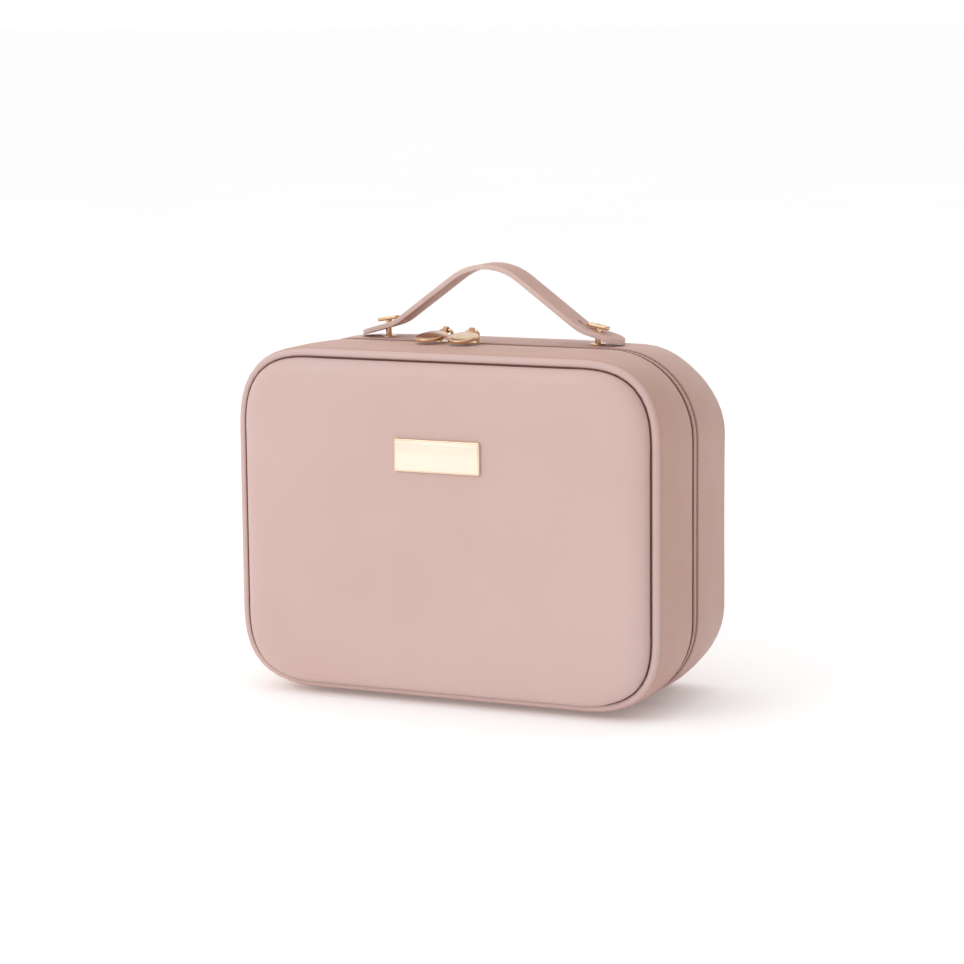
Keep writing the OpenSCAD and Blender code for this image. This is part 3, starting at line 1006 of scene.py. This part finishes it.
def along_hoop(unit, path, pitch, start=0.0):
    """Repeats a small part along the outline: X runs with the path and Y points outwards."""
    move(unit, Matrix.Rotation(math.pi, 4, "X") @ Matrix.Translation((start, 0, 0)))
    modify(unit, "ARRAY", fit_type="FIT_CURVE", curve=path, use_relative_offset=False,
           use_constant_offset=True, constant_offset_displace=(pitch, 0, 0))
    modify(unit, "CURVE", object=path, deform_axis="POS_X")
    move(unit, Matrix.Rotation(math.pi / 2, 4, "X"))
    drop(path)
    return unit


def add_tape(side, body, wall_y, word):
    near = ZIP_Y + side * 0.35 * MM
    far = wall_y - side * 0.1 * MM
    lip = 0.35 * MM
    section = [(-lip, near), (0, near + side * lip), (0, far), (-1.2 * MM, far), (-1.2 * MM, near)]
    tape = sweep("zip_tape_" + word, hoop_path(BAND_DROP, open_bottom=True), section)
    place(tape, "tape", "zip_tape", body, "zipper_tape_" + word, angle=35)


def add_fold_shadow(side, body, wall_y, word):
    # A dark strip of painted shadow in the groove at the wall's edge: darker and wider on the lid, a
    # softer shadow line on the rear.
    width = 2.2 * MM if side < 0 else 1.5 * MM
    rise = 0.8 * MM if side < 0 else 0.5 * MM
    section = [(rise, wall_y + side * 0.3 * MM), (rise, wall_y - side * (width - 0.3 * MM)),
               (-1 * MM, wall_y - side * width), (-1 * MM, wall_y + side * 0.3 * MM)]
    fold = sweep("zip_fold_shadow_" + word, hoop_path(BAND_DROP, open_bottom=True), section)
    place(fold, "seam" if side < 0 else "fold", "zip_tape", body, angle=35)


def add_coil(side, body, word):
    """One tooth is a loop of monofilament that hooks round the closure line."""
    low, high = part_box("zipper_coil_" + word)
    depth = high.y - low.y
    near, far = (high.y, low.y) if side < 0 else (low.y, high.y)
    drop_z = CASE_H - high.z + 0.3 * MM
    wire = 0.3 * MM
    reach = near - side * 0.45 * MM
    points = [(0, 0, far), (0, 0, reach), (0.1 * MM, -0.5 * depth, reach - side * 0.2 * MM),
              (0.5 * MM, -depth + 2 * wire, reach), (0.8 * MM, -depth + 2 * wire, far)]
    tooth = tube("coil_" + word, points, wire, sides=1)
    path = hoop_path(drop_z, open_bottom=True)
    pitch = sizes().tooth_pitch
    coil = along_hoop(tooth, path, pitch, pitch / 4 * (side + 1))
    place(coil, "nylon", "zip_coil", body, "zipper_coil_" + word, angle=50)


def add_stitches(side, body, wall_y, word):
    thread = sizes().thread
    pitch = sizes().stitch_pitch
    dash = add_block("stitches_" + word, (-pitch * 0.38, -thread / 2, -thread / 2),
                     (pitch * 0.38, thread / 2, thread / 2))
    soften(dash, thread * 0.3, 1)
    move(dash, Matrix.Translation((0, 0, wall_y - side * 1.7 * MM)))
    row = along_hoop(dash, hoop_path(BAND_DROP - thread * 0.1, open_bottom=True), pitch, pitch / 2)
    place(row, "thread", "zip_tape", body, angle=50)


def add_end_tabs():
    low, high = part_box("zipper_end_tabs")
    tabs = []
    for end in (-1, 1):
        near = high.x - 9 * MM
        tab = add_block("tab", (min(end * near, end * high.x), low.y, low.z),
                        (max(end * near, end * high.x), high.y, high.z))
        round_corners(tab, 1.5 * MM, 2, 4)
        soften(tab, 0.2 * MM)
        tabs.append(tab)
    piece = join("zip_end_cloth", tabs)
    place(piece, "tape", "lining", REAR, "zipper_end_tabs", angle=35)


class TRAINCASE_OT_zipper(bpy.types.Operator):
    """Models both tapes with their stitches and the dark strips of painted shadow in the grooves beside
    them, both coils and the end tabs
    """

    bl_idname = "train_case.zipper"
    bl_label = "Zipper"

    def execute(self, context):
        for side, body, wall_y in ((-1, LID, WALL_HIGH.y), (1, REAR, REAR_LOW.y)):
            word = "front" if side < 0 else "rear"
            add_tape(side, body, wall_y, word)
            add_fold_shadow(side, body, wall_y, word)
            add_coil(side, body, word)
            add_stitches(side, body, wall_y, word)
        add_end_tabs()
        return {"FINISHED"}


class TRAINCASE_OT_hinge(bpy.types.Operator):
    """Models the flexing strip that joins the halves along the bottom"""

    bl_idname = "train_case.hinge"
    bl_label = "Hinge strip"

    def execute(self, context):
        low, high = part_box("hinge_strip")
        strip = add_block("hinge_flex", low, high)
        soften(strip, 0.35 * MM)
        for i in range(1, 16):
            slice_at(strip, (0, low.y + (high.y - low.y) * i / 16, 0), (0, 1, 0))
        smooth(strip)
        dress(strip, "leather")
        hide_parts("hinge_strip")
        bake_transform(strip)
        return {"FINISHED"}


# ---- Metalwork ----

class TRAINCASE_OT_nameplate(bpy.types.Operator):
    """Models the blank nameplate, and finishes its prongs"""

    bl_idname = "train_case.nameplate"
    bl_label = "Nameplate"

    def execute(self, context):
        low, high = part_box("nameplate")
        rim = add_block("rim", (low.x, low.y + 0.15 * MM, low.z), (high.x, high.y + 0.6 * MM, high.z))
        round_corners(rim, 0.9 * MM, 1, 4)
        soften(rim, 0.35 * MM, 2, 50)
        edge = 0.9 * MM
        face = add_block("face", (low.x + edge, low.y, low.z + edge),
                         (high.x - edge, low.y + 0.6 * MM, high.z - edge))
        soften(face, 0.14 * MM, 2)
        for part, kind in ((rim, "plate_rim"), (face, "plate")):
            part.data.materials.append(finish_of(kind))
        plate = join("blank_plate", [rim, face])
        smooth(plate, 40)
        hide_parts("nameplate")
        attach(plate, LID)
        redress("nameplate_prongs", "gold")
        return {"FINISHED"}


def redress(node, kind):
    """Gives a CAD node that stays in view its finish."""
    for slot in frame["nodes"][node].material_slots:
        slot.material = finish_of(kind)


def make_slider(box, axle, name):
    """Two plates on a wedge, with a domed bridge over them."""
    low, high = box
    plate_t = 1.3 * MM
    top_z = axle.z - 7.5 * MM
    parts = []
    for z in (low.z, top_z):
        plate = add_block("plate", (low.x, low.y, z), (high.x, high.y, z + plate_t))
        round_corners(plate, 3.4 * MM, 2, 8)
        soften(plate, 0.4 * MM, 3)
        parts.append(plate)
    parts.append(add_block("wedge", (axle.x - 2.5 * MM, ZIP_Y - 0.3 * MM, low.z + plate_t / 2),
                           (axle.x + 2.5 * MM, ZIP_Y + 0.3 * MM, top_z + plate_t / 2)))
    foot = high.x - axle.x - 1.6 * MM
    route = arch(foot, top_z, axle.z, 2.2 * MM)
    points = [(axle.x + x, axle.y, z) for x, z in route]
    parts.append(tube("bridge", points, 0.95 * MM, sides=4))
    for end in (-1, 1):
        foot_block = add_block("foot", (axle.x + end * foot - 1.2 * MM, axle.y - 1.5 * MM, top_z),
                               (axle.x + end * foot + 1.2 * MM, axle.y + 1.5 * MM, top_z + 2.6 * MM))
        soften(foot_block, 0.6 * MM, 3)
        parts.append(foot_block)
    slider = join(name, parts)
    smooth(slider, 40)
    return slider


def make_pull(name):
    """An oval with a bevelled rim and a slightly domed face, hung from the origin by an eye."""
    eye_r = 2.1 * MM
    thick = 2 * MM
    half_w, half_l = 8.5 * MM, 11 * MM
    centre_y = -(eye_r + 3 * MM + half_l)
    oval = add_disc("oval", (0, 0, 0), half_w, thick, 64)
    oval.scale.y = half_l / half_w
    oval.location.y = centre_y
    activate(oval)
    bpy.ops.object.transform_apply()
    soften(oval, 0.55 * MM, 3, 50)
    with editing(oval):
        pick(oval, "FACE", lambda f: f.normal.z > 0.99)
        for inset, rise in ((0.5, -0.12), (0.5, 0.08), (1.5, 0.1), (2.5, 0.06)):
            bpy.ops.mesh.inset(thickness=inset * MM, depth=rise * MM)
    neck = add_block("neck", (-1.7 * MM, centre_y + half_l - 1.5 * MM, -thick / 2),
                     (1.7 * MM, -eye_r + 0.6 * MM, thick / 2))
    soften(neck, 0.5 * MM, 3)
    ring = arc((0, 0), eye_r - 0.45 * MM, 0, 345, 23)
    loops = [tube("eye", [(x, y, z) for y, z in ring], 0.5 * MM, sides=2, closed=True)
             for x in (-0.95 * MM, 0, 0.95 * MM)]
    return join(name, [oval, neck] + loops)


class TRAINCASE_OT_sliders(bpy.types.Operator):
    """Models both zip sliders and their oval pulls"""

    bl_idname = "train_case.sliders"
    bl_label = "Sliders and pulls"

    def execute(self, context):
        for side in ("left", "right"):
            axle = Vector(JOINTS["pull_" + side + "_swing"]["pos_m"])
            slider = make_slider(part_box("slider_" + side), axle, "zip_slider_" + side)
            place(slider, "gold", "gold_hardware", "slider_" + side + "_body",
                  "slider_" + side)
            splay = -6.5 if side == "left" else 6.5
            pull = make_pull("zip_pull_" + side)
            tilt = Matrix.Rotation(math.radians(splay), 4, "Z") @ Matrix.Rotation(math.radians(8), 4, "X")
            move(pull, Matrix.Translation(axle) @ tilt)
            place(pull, "gold", "gold_hardware", "pull_" + side + "_body", "pull_" + side, angle=40)
        return {"FINISHED"}


def make_stud(name, foot_z, bar_z, tilt):
    post = add_disc("post", (0, 0, (foot_z + bar_z + MM) / 2), 1.8 * MM, bar_z + MM - foot_z, 32)
    collar = add_disc("collar", (0, 0, CASE_H + 0.5 * MM), 4.5 * MM, 1 * MM, 48)
    soften(collar, 0.4 * MM, 3, 50)
    bar = add_block("bar", (-BAR_HALF, -2.5 * MM, 0), (BAR_HALF, 2.5 * MM, BAR_T))
    round_corners(bar, 2.4 * MM, 2, 8)
    soften(bar, 0.55 * MM, 3, 50)
    cut = add_block("cut", (-1.6 * MM, -0.5 * MM, 1.3 * MM), (1.6 * MM, 0.5 * MM, 3 * MM))
    combine(bar, cut)
    move(bar, Matrix.Translation((0, 0, bar_z)) @ Matrix.Rotation(tilt, 4, "Y"))
    return join(name, [post, collar, bar])


def make_screw(at):
    low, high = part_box("stud_screws")
    head_t = 1.8 * MM
    head = add_disc("head", (*at, low.z + head_t / 2), 4 * MM, head_t, 40)
    soften(head, 0.6 * MM, 3, 50)
    for size in ((2.4, 0.5), (0.5, 2.4)):
        half = Vector((*size, 0.9)) * MM
        centre = Vector((*at, low.z))
        cut = add_block("cut", centre - half, centre + half)
        combine(head, cut)
    shank = add_disc("shank", (*at, (low.z + head_t + high.z) / 2), 1.2 * MM,
                     high.z - low.z - head_t, 20)
    return join("screw", [head, shank])


class TRAINCASE_OT_studs(bpy.types.Operator):
    """Models the handle's studs with their screws, and finishes the washers"""

    bl_idname = "train_case.studs"
    bl_label = "Handle studs"

    def execute(self, context):
        low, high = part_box("handle_stud_right")
        tilt = math.radians(10)
        bar_z = high.z - BAR_HALF * math.sin(tilt) - BAR_T * math.cos(tilt)
        for side, word in ((-1, "left"), (1, "right")):
            stud = make_stud("stud_" + word, low.z, bar_z, side * tilt)
            move(stud, Matrix.Translation((side * STUD_X, STRAP_Y, 0)))
            place(stud, "gold", "gold_hardware", REAR, "handle_stud_" + word, angle=40)
        screws = [make_screw((side * STUD_X, STRAP_Y)) for side in (-1, 1)]
        screws = join("stud_screw_pair", screws)
        place(screws, "steel", "steel", REAR, "stud_screws", angle=40)
        redress("stud_washers", "steel")
        return {"FINISHED"}


# ---- Handle ----

def strap_route():
    """Middle line of the right half, from the crown to the tip, as (x, z)."""
    radius = SHOULDER.x / math.sin(LEG_SLOPE)
    turn = math.degrees(LEG_SLOPE)
    points = arc((0, SHOULDER.z - radius * math.cos(LEG_SLOPE)), radius, 90, 90 - turn, 20)
    bend_r = 28 * MM
    tangent = bend_r * math.tan((LEG_SLOPE - END_SLOPE) / 2)
    start = Vector((ELBOW.x, ELBOW.z)) + tangent * Vector((-math.cos(LEG_SLOPE), math.sin(LEG_SLOPE)))
    centre = start + bend_r * Vector((math.sin(LEG_SLOPE), math.cos(LEG_SLOPE)))
    for share in (0.25, 0.5, 0.75):
        points.append((SHOULDER.x + (start.x - SHOULDER.x) * share,
                       SHOULDER.z + (start.y - SHOULDER.z) * share))
    points += arc(centre, bend_r, -90 - turn, -90 - math.degrees(END_SLOPE), 8)
    last_x, last_z = points[-1]
    return points + [(STRAP_HIGH.x, last_z - (STRAP_HIGH.x - last_x) * math.tan(END_SLOPE))]


def strap_blank(route):
    """The right half of the strap, with its round tip and its slot."""
    half_w = STRAP_W / 2
    strip = ribbon("strap_blank", [(x, STRAP_Y - half_w, z) for x, z in route], (0, STRAP_W, 0),
                   STRAP_T, use_even_offset=True)
    plan = add_block("plan", (-10 * MM, STRAP_Y - half_w - 0.01 * MM, CASE_H - 10 * MM),
                     (STRAP_HIGH.x - 0.4 * MM, STRAP_Y + half_w + 0.01 * MM, CASE_H + 70 * MM))
    round_corners(plan, half_w - 0.05 * MM, 2, 12, lambda e: e.verts[0].co.x > 0)
    combine(strip, plan, "INTERSECT")
    slot = add_block("slot", (ELBOW.x - 2 * MM - STRAP_SLOT_R, STRAP_Y - STRAP_SLOT_R, CASE_H - 10 * MM),
                     (STUD_X + 0.6 * MM + STRAP_SLOT_R, STRAP_Y + STRAP_SLOT_R, CASE_H + 30 * MM))
    round_corners(slot, STRAP_SLOT_R * 0.98, 2, 8)
    combine(strip, slot)
    soften(strip, 0.55 * MM, 3, 40)
    return strip


def paint_edges(piece):
    """Leather darkened with painted shade on the faces, edge paint on the cut sides."""
    for kind in ("shaded_wall_leather", "edge"):
        piece.data.materials.append(finish_of(kind))
    for face in piece.data.polygons:
        x = face.center.x
        slope = LEG_SLOPE * min(x / SHOULDER.x, 1) if x < ELBOW.x else END_SLOPE
        across = abs(face.normal.x * math.sin(slope) + face.normal.z * math.cos(slope))
        face.material_index = 1 if across < 0.5 else 0


class TRAINCASE_OT_strap(bpy.types.Operator):
    """Models the handle strap in four lengths that meet at its crown and halfway down each leg"""

    bl_idname = "train_case.strap"
    bl_label = "Handle strap"

    def execute(self, context):
        upper = strap_blank(strap_route())
        lower = copy_of(upper, "lower")
        leg = (ELBOW - SHOULDER).normalized()
        middle = (SHOULDER + ELBOW) / 2
        slice_at(upper, middle, leg, use_fill=True, clear_outer=True)
        slice_at(lower, middle, leg, use_fill=True, clear_inner=True)
        paint_edges(upper)
        paint_edges(lower)
        for side, word in ((1, "right"), (-1, "left")):
            flip = Matrix.Scale(side, 4, (1, 0, 0)) if side < 0 else Matrix.Identity(4)
            leg_body, end_body = "strap_" + word + "_leg", "strap_" + word + "_end"
            for source, part, parent, child, pivot, reach, nodes in (
                    (upper, "upper", "strap_middle", leg_body, SHOULDER, 8 * MM,
                     ["strap_crown"] if side > 0 else []),
                    (lower, "lower", leg_body, end_body, ELBOW, 6 * MM,
                     ["strap_leg_" + word, "strap_end_" + word])):
                piece = copy_of(source, "strap_" + part + "_" + word)
                move(piece, flip)
                smooth(piece, 40)
                if nodes:
                    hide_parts(*nodes)
                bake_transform(piece)
        drop(upper, lower)
        return {"FINISHED"}


# ---- Inside ----

def add_rear_board():
    """The stiffener in the back, cut to the drawn-in corners."""
    low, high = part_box("rear_board")
    board = add_block("back_stiffener", low, high)
    round_corners(board, CORNER_R - (low.z - BACK_LOW.z) + 6 * MM, 1, 16)
    slice_at(board, (0, 0, MID_Z + 60 * MM), (0, 0, 1))
    for x in (-80, -50, 50, 80):
        slice_at(board, (x * MM, 0, 0), (1, 0, 0))
    shape_rear(board)
    place(board, "board", "board", REAR, "rear_board", angle=35)


class TRAINCASE_OT_linings(bpy.types.Operator):
    """Models both linings with their bound rims, and finishes the stiffener boards"""

    bl_idname = "train_case.linings"
    bl_label = "Linings"

    def execute(self, context):
        for word, body, box, open_side in (("lid", LID, (LID_CLOTH_LOW, LID_CLOTH_HIGH), 1),
                                           ("rear", REAR, (REAR_CLOTH_LOW, REAR_CLOTH_HIGH), -1)):
            cloth = add_block(word + "_cloth", *box)
            round_corners(cloth, CORNER_R - WALL_T, 1, 12)
            with editing(cloth):
                pick(cloth, "FACE", lambda f: f.normal.y * open_side > 0.9)
                bpy.ops.mesh.delete(type="FACE")
            if body == REAR:
                with editing(cloth):
                    pick(cloth, "EDGE", lambda e: min(v.co.y for v in e.verts) > box[1].y - MM)
                    bpy.ops.mesh.bevel(offset=BACK_TURN_R - WALL_T, segments=6, affect="EDGES")
                shape_rear(cloth)
            else:
                lift_toe(cloth)
            modify(cloth, "SOLIDIFY", thickness=LINING_T, offset=-1)
            place(cloth, "lining", "lining", body, word + "_lining", angle=35)
            rim_y = box[1].y if open_side > 0 else box[0].y
            bead = arc((0, rim_y - open_side * 1.2 * MM), 1.1 * MM, 0, 330, 11)
            binding = sweep(word + "_binding", hoop_path(WALL_T + LINING_T), bead)
            place(binding, "elastic", "elastic", body, angle=60)
        redress("front_board", "board")
        add_rear_board()
        return {"FINISHED"}


def add_quilt():
    low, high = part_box("brush_panel")
    pitch = 26 * MM
    quilt = add_grid("brush_board_quilt", 90, 68, high.x - low.x, high.z - low.z)
    rise = 0.9 * MM
    for point in quilt.data.vertices:
        u = (point.co.x + point.co.y) / pitch
        v = (point.co.x - point.co.y) / pitch
        puff = abs(math.sin(math.pi * u) * math.sin(math.pi * v)) ** 0.4
        point.co.z = -(high.y - rise + rise * puff)
    move(quilt, Matrix.Translation((0, 0, (low.z + high.z) / 2)) @ Matrix.Rotation(math.pi / 2, 4, "X"))
    modify(quilt, "SOLIDIFY", thickness=1.0 * MM, offset=1)
    mend(quilt)
    plan = add_block("plan", (low.x, low.y - 5 * MM, low.z), (high.x, high.y + 5 * MM, high.z))
    round_corners(plan, 30 * MM, 1, 10)
    combine(quilt, plan, "INTERSECT")
    smooth(quilt, 60)
    place(quilt, "lining", "lining", LID, "brush_panel")


def add_loops():
    low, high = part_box("brush_loops")
    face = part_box("brush_panel")[1].y
    count = 6
    width = 22 * MM
    pitch = (high.x - low.x - width) / (count - 1)
    strips = []
    for i in range(count):
        middle = low.x + width / 2 + i * pitch
        half = width / 2 - 0.5 * MM
        bow = high.y - face - 0.5 * MM
        route = arch(half, 0, bow, 4.5 * MM)
        strip = ribbon("loop", [(middle + x, face + y, low.z) for x, y in route],
                       (0, 0, high.z - low.z), 0.9 * MM)
        soften(strip, 0.25 * MM)
        strips.append(strip)
        for side in (-1, 1):
            x = middle + side * (width / 2 + 1.2 * MM)
            tack = add_block("tack", (x - 1.6 * MM, face - 0.3 * MM, low.z + 1 * MM),
                             (x + 1.6 * MM, face + 0.8 * MM, high.z - 1 * MM))
            soften(tack, 0.3 * MM)
            strips.append(tack)
    loops = join("elastic_loops", strips)
    place(loops, "elastic", "elastic", LID, "brush_loops", angle=35)


def add_pocket():
    low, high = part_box("slip_pocket")
    hem_low, hem_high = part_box("pocket_hem")
    width, tall = high.x - low.x, high.z - low.z
    net = add_grid("mesh_pocket", 72, 24, width, tall)
    bow = high.y - low.y - 1 * MM

    def stand(x, z):
        """How far the net stands off the board."""
        side = min((width / 2 - abs(x)) / (16 * MM), 1)
        foot = min((z - low.z) / (18 * MM), 1)
        return bow * math.sin(side * math.pi / 2) * math.sin(foot * math.pi / 2)

    for point in net.data.vertices:
        x, z = point.co.x, point.co.y + (low.z + high.z) / 2
        point.co = (x, low.y + 0.7 * MM + stand(x, z), z)
    modify(net, "SOLIDIFY", thickness=0.35 * MM, offset=0)
    mend(net)
    smooth(net, 60)
    route = [(x * MM, low.y + 0.9 * MM + stand(x * MM, high.z)) for x in range(-107, 108, 2)]
    hem = ribbon("pocket_hem_band", [(x, y, hem_low.z - 1 * MM) for x, y in route],
                 (0, 0, hem_high.z - hem_low.z + 1 * MM), 1.2 * MM)
    soften(hem, 0.3 * MM)
    place(hem, "elastic", "elastic", LID, "pocket_hem", angle=40)
    place(net, "net", "mesh", LID, "slip_pocket")


class TRAINCASE_OT_brush_board(bpy.types.Operator):
    """Models the quilted brush board, its elastic loops, the mesh pocket and its hem"""

    bl_idname = "train_case.brush_board"
    bl_label = "Brush board"

    def execute(self, context):
        add_quilt()
        add_loops()
        add_pocket()
        return {"FINISHED"}


def add_divider(node, thin):
    """A pad with puffed faces and a bound front edge."""
    low, high = (Vector(corner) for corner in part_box(node))
    puff = 0.7 * MM
    slim_low, slim_high = low.copy(), high.copy()
    slim_low[thin] += puff
    slim_high[thin] -= puff
    pad = add_block("pad_" + node, slim_low, slim_high)
    with editing(pad):
        for side in (-1, 1):
            pick(pad, "FACE", lambda f: f.normal[thin] * side > 0.9)
            for inset, rise in ((1.2, 0.3), (1.8, 0.22), (3.0, 0.13)):
                bpy.ops.mesh.inset(thickness=inset * MM, depth=rise * MM)
    soften(pad, 0.8 * MM, 3, 50)
    smooth(pad, 60)
    place(pad, "lining", "lining", REAR, node)
    middle = (low + high) / 2
    along = 0 if thin == 2 else 2
    start, end = middle.copy(), middle.copy()
    start[along], end[along] = low[along] + 0.3 * MM, high[along] - 0.3 * MM
    start.y = end.y = low.y + 0.9 * MM
    bead = tube("binding_" + node, [start, end], (high[thin] - low[thin]) / 2 - 0.5 * MM, sides=6)
    flat = Matrix.Diagonal((1, 0.45, 1, 1))
    shift = Matrix.Translation((0, start.y, 0))
    move(bead, shift @ flat @ shift.inverted())
    place(bead, "elastic", "elastic", REAR, angle=60)


def add_flaps():
    """Tabs that lie on the walls beside each divider's end."""
    low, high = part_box("divider_flaps")
    long_low, long_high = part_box("divider_long")
    reach, thick = 14 * MM, 1 * MM
    boxes = []
    for z in (long_low.z - reach, long_high.z):
        boxes.append(((low.x, z), (low.x + thick, z + reach)))
        boxes.append(((high.x - thick, z), (high.x, z + reach)))
    for node in ("divider_upper_left", "divider_upper_right"):
        left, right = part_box(node)[0].x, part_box(node)[1].x
        boxes.append(((left - reach, high.z - thick), (left, high.z)))
        boxes.append(((right, high.z - thick), (right + reach, high.z)))
    left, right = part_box("divider_lower")[0].x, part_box("divider_lower")[1].x
    boxes.append(((left - reach, low.z), (left, low.z + thick)))
    boxes.append(((right, low.z), (right + reach, low.z + thick)))
    tabs = []
    for (x0, z0), (x1, z1) in boxes:
        tab = add_block("tab", (x0, low.y, z0), (x1, high.y, z1))
        round_corners(tab, 2.5 * MM, 0 if x1 - x0 < 2 * thick else 2, 4)
        soften(tab, 0.25 * MM)
        tabs.append(tab)
    piece = join("divider_tabs", tabs)
    place(piece, "elastic", "elastic", REAR, "divider_flaps", angle=35)


class TRAINCASE_OT_dividers(bpy.types.Operator):
    """Models the padded dividers, their binding and their hook-and-loop flaps"""

    bl_idname = "train_case.dividers"
    bl_label = "Dividers"

    def execute(self, context):
        for node, thin in (("divider_long", 2), ("divider_upper_left", 0),
                           ("divider_upper_right", 0), ("divider_lower", 0)):
            add_divider(node, thin)
        add_flaps()
        return {"FINISHED"}


CLASSES = [TrainCaseSizes, TrainCaseColours, TRAINCASE_OT_stage, TRAINCASE_OT_front_cushion,
           TRAINCASE_OT_back_cushion, TRAINCASE_OT_welt, TRAINCASE_OT_walls, TRAINCASE_OT_zipper,
           TRAINCASE_OT_hinge, TRAINCASE_OT_nameplate, TRAINCASE_OT_sliders, TRAINCASE_OT_studs,
           TRAINCASE_OT_strap, TRAINCASE_OT_linings, TRAINCASE_OT_brush_board, TRAINCASE_OT_dividers]


class TRAINCASE_PT_panel(bpy.types.Panel):
    """Lists the steps of the case and its settings"""

    bl_idname = "TRAINCASE_PT_panel"
    bl_label = "Train Case"
    bl_space_type = "VIEW_3D"
    bl_region_type = "UI"
    bl_category = "Train Case"

    def draw(self, context):
        for settings in (context.scene.train_case_sizes, context.scene.train_case_colours):
            for key in settings.__annotations__:
                self.layout.prop(settings, key)
        for step in STEPS:
            self.layout.operator(step.bl_idname)


STEPS = [step for step in CLASSES if issubclass(step, bpy.types.Operator)]


def register():
    for item in CLASSES + [TRAINCASE_PT_panel]:
        bpy.utils.register_class(item)
    bpy.types.Scene.train_case_sizes = bpy.props.PointerProperty(type=TrainCaseSizes)
    bpy.types.Scene.train_case_colours = bpy.props.PointerProperty(type=TrainCaseColours)


def unregister():
    del bpy.types.Scene.train_case_colours
    del bpy.types.Scene.train_case_sizes
    for item in reversed(CLASSES + [TRAINCASE_PT_panel]):
        bpy.utils.unregister_class(item)


def main():
    register()
    for step in STEPS:
        group, name = step.bl_idname.split(".")
        getattr(getattr(bpy.ops, group), name)()


if __name__ == "__main__":
    main()
